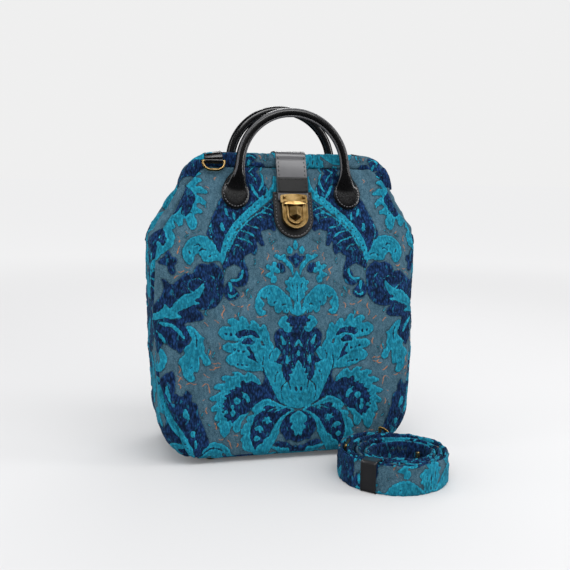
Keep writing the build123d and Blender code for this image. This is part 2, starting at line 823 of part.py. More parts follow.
def keeper_span():
    # Plane on the outer lap, and the depth to the inner face of the second lap
    first, second = keeper_turns()
    plane = coil_plane(first)
    reach = plane.to_local_coords(coil_point(second)).Y + strap_thickness / 2
    sag = keeper_width ** 2 / (8 * coil_inner_radius)
    return plane, -strap_thickness / 2 - layer_gap, reach + layer_gap + sag


def make_keeper():
    plane, near, far = keeper_span()
    height = strap_width + keeper_thickness + layer_gap
    ring = Box(keeper_width, far - near + 2 * keeper_thickness, height, align=(Align.CENTER, Align.CENTER, Align.MIN))
    hole_height = height - 2 * keeper_thickness
    hole = Pos(0, 0, keeper_thickness) * Box(
        2 * keeper_width, far - near, hole_height, align=(Align.CENTER, Align.CENTER, Align.MIN))
    return plane * Pos(0, (near + far) / 2, 0) * (ring - hole)


def keeper_room():
    # The keeper's lower side squeezes the strap's edge up by its own thickness
    plane, near, far = keeper_span()
    return plane * Pos(0, (near + far) / 2, 0) * Box(
        keeper_width + 2, far - near + 3 * keeper_thickness, 2 * (keeper_thickness + layer_gap))


def slider_frame():
    turn = coil_turn_at(slider_angle, 1)
    return coil_plane(turn)


def make_slider():
    # Frame around the strap with one bar outside it and two inside
    sag = slider_length ** 2 / (8 * coil_inner_radius)
    half = strap_thickness / 2 + layer_gap
    outer_y = -half - slider_bar
    inner_y = half + sag + slider_bar
    height = strap_width + 2 * slider_bar
    plate = Pos(0, (outer_y + inner_y) / 2, 0) * Box(slider_length, inner_y - outer_y, slider_bar)
    slider = Pos(0, 0, slider_bar / 2) * plate + Pos(0, 0, height + layer_gap + slider_bar / 2 - slider_bar) * plate
    bar_height = height + layer_gap
    for x, y in ((0, outer_y + slider_bar / 2), (-slider_length / 2 + 1.2, inner_y - slider_bar / 2),
                 (slider_length / 2 - 1.2, inner_y - slider_bar / 2)):
        slider += Pos(x, y, bar_height / 2) * Box(2.4, slider_bar, bar_height)
    return slider_frame() * slider


def slider_room():
    height = 2 * (slider_bar + layer_gap)
    return slider_frame() * Box(slider_length + 2, 3 * strap_thickness, height)


def hook_frame(turn, way):
    # X points away from the strap's end along the hook, Y to one side, Z up
    swing = inner_eye_turn if way > 0 else outer_eye_turn
    along = coil_heading(turn) * way
    end = coil_point(turn) + along * end_loop_offset
    heading = along.rotate(Axis.Z, swing)
    return Plane(origin=(end.X, end.Y, eye_centre_z()), x_dir=heading, z_dir=(0, 0, 1))


def make_eye(turn, way):
    # D on edge: its upright bar lies in the strap's loop, its bow carries the swivel
    half = eye_height / 2 - eye_wire
    bow = ThreePointArc((0, 0, half), (eye_depth, 0, 0), (0, 0, -half))
    start = Plane(origin=bow @ 0, z_dir=bow % 0)
    eye = sweep(start * Circle(eye_wire), bow)
    eye += Cylinder(eye_wire, 2 * half)
    for end in (-1, 1):
        eye += Pos(0, 0, end * half) * Sphere(eye_wire)
    eye += Pos(eye_depth, 0, 0) * Rot(0, 90, 0) * Cylinder(swivel_boss_radius, swivel_boss_length)
    eye -= Pos(eye_depth, 0, 0) * Rot(0, 90, 0) * Cylinder(swivel_radius + running_gap, 4 * swivel_boss_length)
    return hook_frame(turn, way) * eye


def hook_start():
    return eye_depth + swivel_boss_length / 2 + running_gap


def make_hook(turn, way):
    # Stem with its head inside the eye, then an open hook
    begin = hook_start()
    stem_low = eye_depth - swivel_boss_length / 2 - running_gap
    stem = Pos((stem_low + begin) / 2, 0, 0) * Rot(0, 90, 0) * Cylinder(swivel_radius, begin - stem_low)
    head = Pos(stem_low - 0.6, 0, 0) * Rot(0, 90, 0) * Cylinder(swivel_radius + 1.0, 1.2)
    collar = Pos(begin + 1.5, 0, 0) * Rot(0, 90, 0) * Cylinder(swivel_boss_radius, 3.0)
    half = hook_width / 2 - hook_wire
    back = begin + 3.0
    tip = back + hook_length
    centre = tip - hook_wire - half
    shank = Line((back - 1, 0, half), (centre, 0, half))
    bend = ThreePointArc((centre, 0, half), (centre + half, 0, 0), (centre, 0, -half))
    nose = Line((centre, 0, -half), (centre - 2.0, 0, -half))
    path = Wire([shank, bend, nose])
    start = Plane(origin=path @ 0, z_dir=path % 0)
    wire = sweep(start * Circle(hook_wire), path)
    knuckle = Pos(gate_pivot_x(), 0, -half) * Rot(90, 0, 0) * Cylinder(hook_wire, 2 * hook_wire)
    root = Pos(back + 1.0, 0, 0) * Box(3.0, 2 * hook_wire, hook_width - 2 * hook_wire)
    hook = stem + head + collar + wire + root + knuckle
    fork = Pos(gate_pivot_x() + 2.0, 0, -half) * Box(8, gate_thickness * 0.6 + 2 * running_gap, 6)
    pin = Pos(gate_pivot_x(), 0, -half) * Rot(90, 0, 0) * Cylinder(0.6, 2 * hook_wire)
    return hook_frame(turn, way) * (hook - fork + pin)


def gate_pivot_x():
    return hook_start() + 5.0


def make_gate(turn, way):
    half = hook_width / 2 - hook_wire
    back = hook_start() + 3.0
    centre = back + hook_length - hook_wire - half
    nose_end = centre - 2.0
    start = gate_pivot_x()
    length = nose_end - start - free_gap
    tongue = gate_thickness * 0.6
    bar = Pos(start + length / 2, 0, -half) * Box(length, tongue, 2.0)
    eye = Pos(start, 0, -half) * Rot(90, 0, 0) * Cylinder(1.4, tongue)
    hole = Pos(start, 0, -half) * Rot(90, 0, 0) * Cylinder(0.6 + running_gap, 4)
    return hook_frame(turn, way) * (bar + eye - hole)


def blade(start, tip, via_a, via_b):
    # Leaf between two arcs, drawn with X to the right and Z up
    return make_face(ThreePointArc(start, via_a, tip) + ThreePointArc(tip, via_b, start))


def mirrored(points):
    return [tuple((-x, z) for x, z in points), tuple(points)]


def ornament_leaves(singles, pairs):
    leaves = []
    for points in singles:
        leaves.append(blade(*points))
    for points in pairs:
        for twin in mirrored(points):
            leaves.append(blade(*twin))
    return leaves


# Pile fields of the panel ornament as start, tip and a point on each edge, from the floor up
navy_singles = [
    ((0, 90), (0, 147), (24, 120), (-24, 120)),
    ((0, 53), (0, 20), (14, 36), (-14, 36)),
]
navy_pairs = [
    ((20, 138), (52, 86), (58, 120), (34, 108)),
    ((26, 66), (76, 90), (48, 86), (58, 70)),
    ((14, 48), (46, 14), (35, 36), (22, 26)),
    ((84, 276), (77, 220), (96, 248), (70, 246)),
    ((78, 209), (134, 150), (118, 198), (98, 166)),
    ((134, 104), (108, 16), (130, 58), (100, 56)),
]
teal_singles = [
    ((0, 159), (0, 198), (8, 180), (-8, 180)),
    ((-22, 150), (22, 150), (0, 157), (0, 148.5)),
]
teal_pairs = [
    ((2, 160), (43, 160), (28, 187), (24, 172)),
    ((9, 146), (63, 70), (74, 128), (28, 104)),
    ((8, 60), (90, 98), (40, 95), (62, 62)),
    ((8, 55), (66, 24), (52, 54), (38, 40)),
    ((4, 56), (56, 6), (38, 39), (16, 22)),
    ((33, 284), (77, 213), (62, 256), (57, 250)),
    ((118, 220), (84, 203), (100, 239), (100, 222)),
    ((108, 146), (98, 88), (122, 118), (88, 116)),
    ((104, 290), (112, 226), (128, 256), (104, 256)),
]


def covered_area():
    # Front view of what is sewn over the panels
    low = bag_height - patch_bottom_drop
    area = lock_outline(patch_width + 2 * free_gap, low - free_gap, bag_height)
    for x in (-1, 1):
        tab = Ellipse(handle_tab_width / 2 + free_gap, handle_tab_height / 2 + free_gap)
        area += Pos(x * handle_tab_spacing / 2, bag_height - handle_tab_drop) * tab
        ring = Rectangle(ring_width + 2 * free_gap, 2 * ring_bow_depth + 2 * ring_tab_tail)
        area += Pos(x * low_ring_station, low_ring_height) * ring
    return area


def make_ornament():
    never = bag_height + 50
    fronts = side_band((0, 0, 0), (relief, 0, 0), 0, never, 2 * ornament_reach)
    backs = side_band((0, 0, 0), (0, relief, 0), never, 0, 2 * ornament_reach)
    navy_leaves = Sketch() + ornament_leaves(navy_singles, navy_pairs) - covered_area()
    teal_leaves = Sketch() + ornament_leaves(teal_singles, teal_pairs) - covered_area() - navy_leaves
    fields = {}
    for colour, leaves in (("navy", navy_leaves), ("teal", teal_leaves)):
        for place, skin in (("front", fronts), ("back", backs)):
            fields["pile_" + colour + "_" + place] = skin & upright_prism(leaves, -base_depth, base_depth)
    return fields


def build_nodes():
    nodes = {}
    front, back, gusset = make_panels()
    rooms = prong_room()
    nodes["front_panel"] = front - rooms
    nodes["back_panel"] = back
    for x, y in foot_places():
        gusset -= Pos(x, y, base_z) * Cylinder(foot_shank_radius + running_gap, 4 * fabric_thickness)
    nodes["gusset"] = gusset
    nodes["lining"] = make_lining() - rooms
    nodes["base_board"] = make_base_board()
    nodes["sleeve_front"] = make_sleeve(-1)
    nodes["sleeve_back"] = make_sleeve(1)
    nodes["frame_bow_front"] = make_bow(-1)
    nodes["frame_bow_back"] = make_bow(1)
    nodes["frame_rivet_left"] = make_hinge_pin(-1)
    nodes["frame_rivet_right"] = make_hinge_pin(1)
    tab_z = bag_height - handle_tab_drop
    nodes["handle_front"] = make_handle(-1, front_handle_rise, front_handle_reach, tab_z)
    nodes["handle_back"] = make_handle(1, back_handle_rise, back_handle_reach, tab_z)
    nodes["lock_patch"] = make_lock_patch() - rooms
    nodes["closure_strap"] = make_closure_strap() - rivet_room()
    nodes["closure_end_patch"] = make_end_patch()
    nodes["lock_body"] = make_lock_body()
    nodes["lock_button"] = make_button()
    nodes["lock_spring"] = make_lock_spring()
    nodes["lock_back_plate"] = make_lock_back_plate()
    nodes["tongue_plate"] = make_tongue_plate()
    for name, x in zip(("left", "right"), rivet_places()):
        nodes["tongue_rivet_" + name] = make_tongue_rivet(x)
    top_pivot = bag_height - ring_pivot_drop
    rings = {
        "front_left": (-1, -ring_station, top_pivot, True),
        "back_right": (1, ring_station, top_pivot, True),
        "low_left": (1, -low_ring_station, low_ring_height, False),
        "low_right": (1, low_ring_station, low_ring_height, False),
    }
    for name, (side, x, z, over_top) in rings.items():
        nodes["ring_tab_" + name] = make_ring_tab(side, x, z, over_top)
        nodes["ring_" + name] = make_ring(side, x, z)
    for name, (x, y) in zip(("front_left", "front_right", "back_left", "back_right"), foot_places()):
        nodes["foot_" + name] = make_foot(x, y)
    nodes["strap"] = make_strap()
    nodes["strap_keeper"] = make_keeper()
    nodes["strap_slider"] = make_slider()
    for name, turn, way in (("outer", 0.0, -1), ("inner", coil_turns, 1)):
        nodes["hook_eye_" + name] = make_eye(turn, way)
        nodes["hook_" + name] = make_hook(turn, way)
        nodes["hook_gate_" + name] = make_gate(turn, way)
    nodes.update(make_ornament())
    return nodes


def set_origin(nodes):
    # Floor centre of the whole set, the coiled strap included
    boxes = [node.bounding_box() for node in nodes.values()]
    x = (min(box.min.X for box in boxes) + max(box.max.X for box in boxes)) / 2
    y = (min(box.min.Y for box in boxes) + max(box.max.Y for box in boxes)) / 2
    return Vector(x, y, 0)


nodes = build_nodes()
origin = set_origin(nodes)
for name, node in nodes.items():
    node = Pos(-origin.X, -origin.Y, 0) * node
    node.label = name
    export_step(node, "parts/" + name + ".step")
print("set origin", round(origin.X, 3), round(origin.Y, 3))
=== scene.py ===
import math

import bmesh
import bpy
import numpy as np
from mathutils import Matrix, Vector


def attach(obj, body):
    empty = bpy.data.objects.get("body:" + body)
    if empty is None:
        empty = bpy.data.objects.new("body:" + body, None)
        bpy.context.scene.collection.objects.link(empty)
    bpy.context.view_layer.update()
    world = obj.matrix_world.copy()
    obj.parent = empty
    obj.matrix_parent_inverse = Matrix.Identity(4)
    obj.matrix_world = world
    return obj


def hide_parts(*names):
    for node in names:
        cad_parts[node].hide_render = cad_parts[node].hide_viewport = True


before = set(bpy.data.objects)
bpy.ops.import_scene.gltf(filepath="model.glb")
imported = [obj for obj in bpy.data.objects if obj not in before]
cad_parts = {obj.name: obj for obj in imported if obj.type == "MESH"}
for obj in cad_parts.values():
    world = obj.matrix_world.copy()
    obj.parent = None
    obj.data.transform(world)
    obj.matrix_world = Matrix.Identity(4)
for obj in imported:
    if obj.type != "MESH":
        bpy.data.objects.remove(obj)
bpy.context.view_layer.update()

mm = 0.001
bagMiddle = np.array([3.5, 57.892, 0.0])   # mm, the bag's own middle in the shared frame


studio = {
    "cameraAt": (-217.0, -798.8, 293.2),   # mm
    "turn": -14.41, "pitch": 7.48, "roll": 0.905,   # degrees
    "lens": 51.03,
    "worldColour": "#FDFDFD", "worldStrength": 0.88,
    "floorColour": "#C8C8C9", "floorGlow": (0.07, 0.36),   # near the bag and far from it
    # softboxes: middle and aim in metres, width and height in metres, watts
    "lights": {
        "top": ((0.0, -0.62, 1.25), (0, -0.02, 0.28), (1.25, 0.55), 8.5),
        "left": ((-1.1, -0.05, 0.55), (0, 0, 0.2), (0.22, 1.0), 2.2),
        "right": ((1.05, -0.40, 0.6), (0, 0, 0.2), (0.22, 1.0), 4.4),
        "back": ((0.35, 0.95, 1.0), (0, 0.05, 0.25), (0.8, 0.4), 4.0),
        "front": ((0.1, -1.9, 1.0), (0, 0, 0.2), (1.6, 1.0), 0.4),
    },
}


def linear(hexColour):
    # sRGB hex to the linear values that the shaders take
    parts = [int(hexColour[i:i + 2], 16) / 255 for i in (1, 3, 5)]
    return tuple(p / 12.92 if p <= 0.04045 else ((p + 0.055) / 1.055) ** 2.4 for p in parts) + (1.0,)


def addNode(tree, kind, settings=None, inputs=None):
    node = tree.nodes.new(kind)
    for key, value in (settings or {}).items():
        setattr(node, key, value)
    for key, value in (inputs or {}).items():
        if isinstance(value, bpy.types.NodeSocket):
            tree.links.new(value, node.inputs[key])
        else:
            node.inputs[key].default_value = value
    return node


def newMaterial(name):
    material = bpy.data.materials.new(name)
    material.use_nodes = True
    tree = material.node_tree
    tree.nodes.clear()
    return material, tree


def finishMaterial(tree, shader):
    addNode(tree, "ShaderNodeOutputMaterial", None, {"Surface": shader.outputs[0]})


def makeCamera():
    az, pitch, roll = (math.radians(studio[k]) for k in ("turn", "pitch", "roll"))
    ahead = Vector((-math.sin(az) * math.cos(pitch), math.cos(az) * math.cos(pitch), -math.sin(pitch)))
    right = Vector((math.cos(az), math.sin(az), 0))
    up = right.cross(ahead)
    right, up = right * math.cos(roll) + up * math.sin(roll), up * math.cos(roll) - right * math.sin(roll)
    camera = bpy.data.objects.new("camera", bpy.data.cameras.new("camera"))
    camera.data.lens = studio["lens"]
    camera.data.sensor_width = 36
    camera.data.clip_start = 0.01
    camera.matrix_world = Matrix.Translation(Vector(studio["cameraAt"]) * mm) @ Matrix(
        (right, up, -ahead)).transposed().to_4x4()
    bpy.context.scene.collection.objects.link(camera)
    bpy.context.scene.camera = camera


def makeFloor():
    # Seamless white acrylic lit from below: matt, even, a soft shadow under what stands on it
    material, tree = newMaterial("lit_white_acrylic")
    coords = addNode(tree, "ShaderNodeTexCoord").outputs["Object"]
    away = addNode(tree, "ShaderNodeVectorMath", {"operation": "LENGTH"}, {0: coords}).outputs["Value"]
    near, far = studio["floorGlow"]
    glow = addNode(tree, "ShaderNodeMapRange", {"interpolation_type": "SMOOTHSTEP"}, {
        "Value": away, "From Min": 0.3, "From Max": 2.4, "To Min": near, "To Max": far}).outputs[0]
    shader = addNode(tree, "ShaderNodeBsdfPrincipled", None, {
        "Base Color": linear(studio["floorColour"]), "Roughness": 1.0, "IOR": 1.45, "Specular IOR Level": 0.0,
        "Emission Color": (1, 1, 1, 1), "Emission Strength": glow})
    finishMaterial(tree, shader)
    bm = bmesh.new()
    bmesh.ops.create_grid(bm, x_segments=2, y_segments=2, size=60.0)
    mesh = bpy.data.meshes.new("floor")
    bm.to_mesh(mesh)
    bm.free()
    floor = bpy.data.objects.new("floor", mesh)
    floor.visible_glossy = False
    mesh.materials.append(material)
    bpy.context.scene.collection.objects.link(floor)


def makeLight():
    world = bpy.data.worlds.new("studio")
    bpy.context.scene.world = world
    world.use_nodes = True
    world.node_tree.nodes["Background"].inputs["Color"].default_value = linear(studio["worldColour"])
    world.node_tree.nodes["Background"].inputs["Strength"].default_value = studio["worldStrength"]
    world.cycles_visibility.glossy = False
    for name, (at, aim, size, power) in studio["lights"].items():
        light = bpy.data.lights.new(name, "AREA")
        light.shape = "RECTANGLE"
        light.size, light.size_y = size
        light.energy = power
        lamp = bpy.data.objects.new(name, light)
        lamp.location = at
        lamp.rotation_mode = "QUATERNION"
        lamp.rotation_quaternion = (Vector(aim) - Vector(at)).to_track_quat("-Z", "Y")
        bpy.context.scene.collection.objects.link(lamp)
    bpy.context.scene.view_settings.view_transform = "Standard"


def addPiece(name, mesh, material, body="set", replaces=()):
    for face in mesh.polygons:
        face.use_smooth = True
    mesh.materials.clear()
    mesh.materials.append(material)
    piece = bpy.data.objects.new(name, mesh)
    bpy.context.scene.collection.objects.link(piece)
    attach(piece, body)
    if replaces:
        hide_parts(*replaces)
    return piece


def meshFrom(name, points, faces, turnOutwards=True):
    # points in mm in the bag's own frame
    mesh = bpy.data.meshes.new(name)
    mesh.from_pydata(((np.asarray(points, float) + bagMiddle) * mm).tolist(), [], faces)
    if turnOutwards:
        bm = bmesh.new()
        bm.from_mesh(mesh)
        bmesh.ops.recalc_face_normals(bm, faces=bm.faces)
        bm.to_mesh(mesh)
        bm.free()
    mesh.update()
    return mesh


def setField(mesh, name, values):
    attribute = mesh.attributes.new(name, "FLOAT", "POINT")
    data = np.full(len(mesh.vertices), -3.0, np.float32)
    data[:values.size] = values.ravel()
    attribute.data.foreach_set("value", data)


def closedSheet(outer, inner, step):
    # A fine outer face and a coarser inner one, joined round their rims: points and faces
    rows, cols = outer.shape[:2]
    inRows, inCols = inner.shape[:2]
    points = np.concatenate([outer.reshape(-1, 3), inner.reshape(-1, 3)])
    first = rows * cols
    faces = []
    for i in range(rows - 1):
        a = i * cols
        faces += [(a + j, a + j + 1, a + cols + j + 1, a + cols + j) for j in range(cols - 1)]
    for i in range(inRows - 1):
        a = first + i * inCols
        faces += [(a + j, a + inCols + j, a + inCols + j + 1, a + j + 1) for j in range(inCols - 1)]
    for outRow, inRow in ((0, 0), (rows - 1, inRows - 1)):
        for j in range(inCols - 1):
            edge = [outRow * cols + j * step + k for k in range(step + 1)]
            faces.append(tuple(edge) + (first + inRow * inCols + j + 1, first + inRow * inCols + j))
    for outCol, inCol in ((0, 0), (cols - 1, inCols - 1)):
        for i in range(inRows - 1):
            edge = [(i * step + k) * cols + outCol for k in range(step + 1)]
            faces.append(tuple(edge) + (first + (i + 1) * inCols + inCol, first + i * inCols + inCol))
    return points, faces


def gridNormals(grid):
    across = np.gradient(grid, axis=1)
    along = np.gradient(grid, axis=0)
    normal = np.cross(across, along)
    return normal / np.maximum(np.linalg.norm(normal, axis=2, keepdims=True), 1e-9)


def softNoise(u, v, cell, seed):
    # Smooth noise from -1 to 1 with bumps about one cell wide
    lattice = np.random.default_rng(seed).uniform(-1, 1, (64, 64))
    a, b = np.asarray(u) / cell + 977.3, np.asarray(v) / cell + 977.3
    i, j = np.floor(a).astype(int), np.floor(b).astype(int)
    s, t = a - i, b - j
    s, t = s * s * (3 - 2 * s), t * t * (3 - 2 * t)
    i, j, i2, j2 = i % 64, j % 64, (i + 1) % 64, (j + 1) % 64
    low = lattice[i, j] * (1 - s) + lattice[i2, j] * s
    high = lattice[i, j2] * (1 - s) + lattice[i2, j2] * s
    return low * (1 - t) + high * t


def ramp(value, low, high):
    t = np.clip((value - low) / (high - low), 0, 1)
    return t * t * (3 - 2 * t)


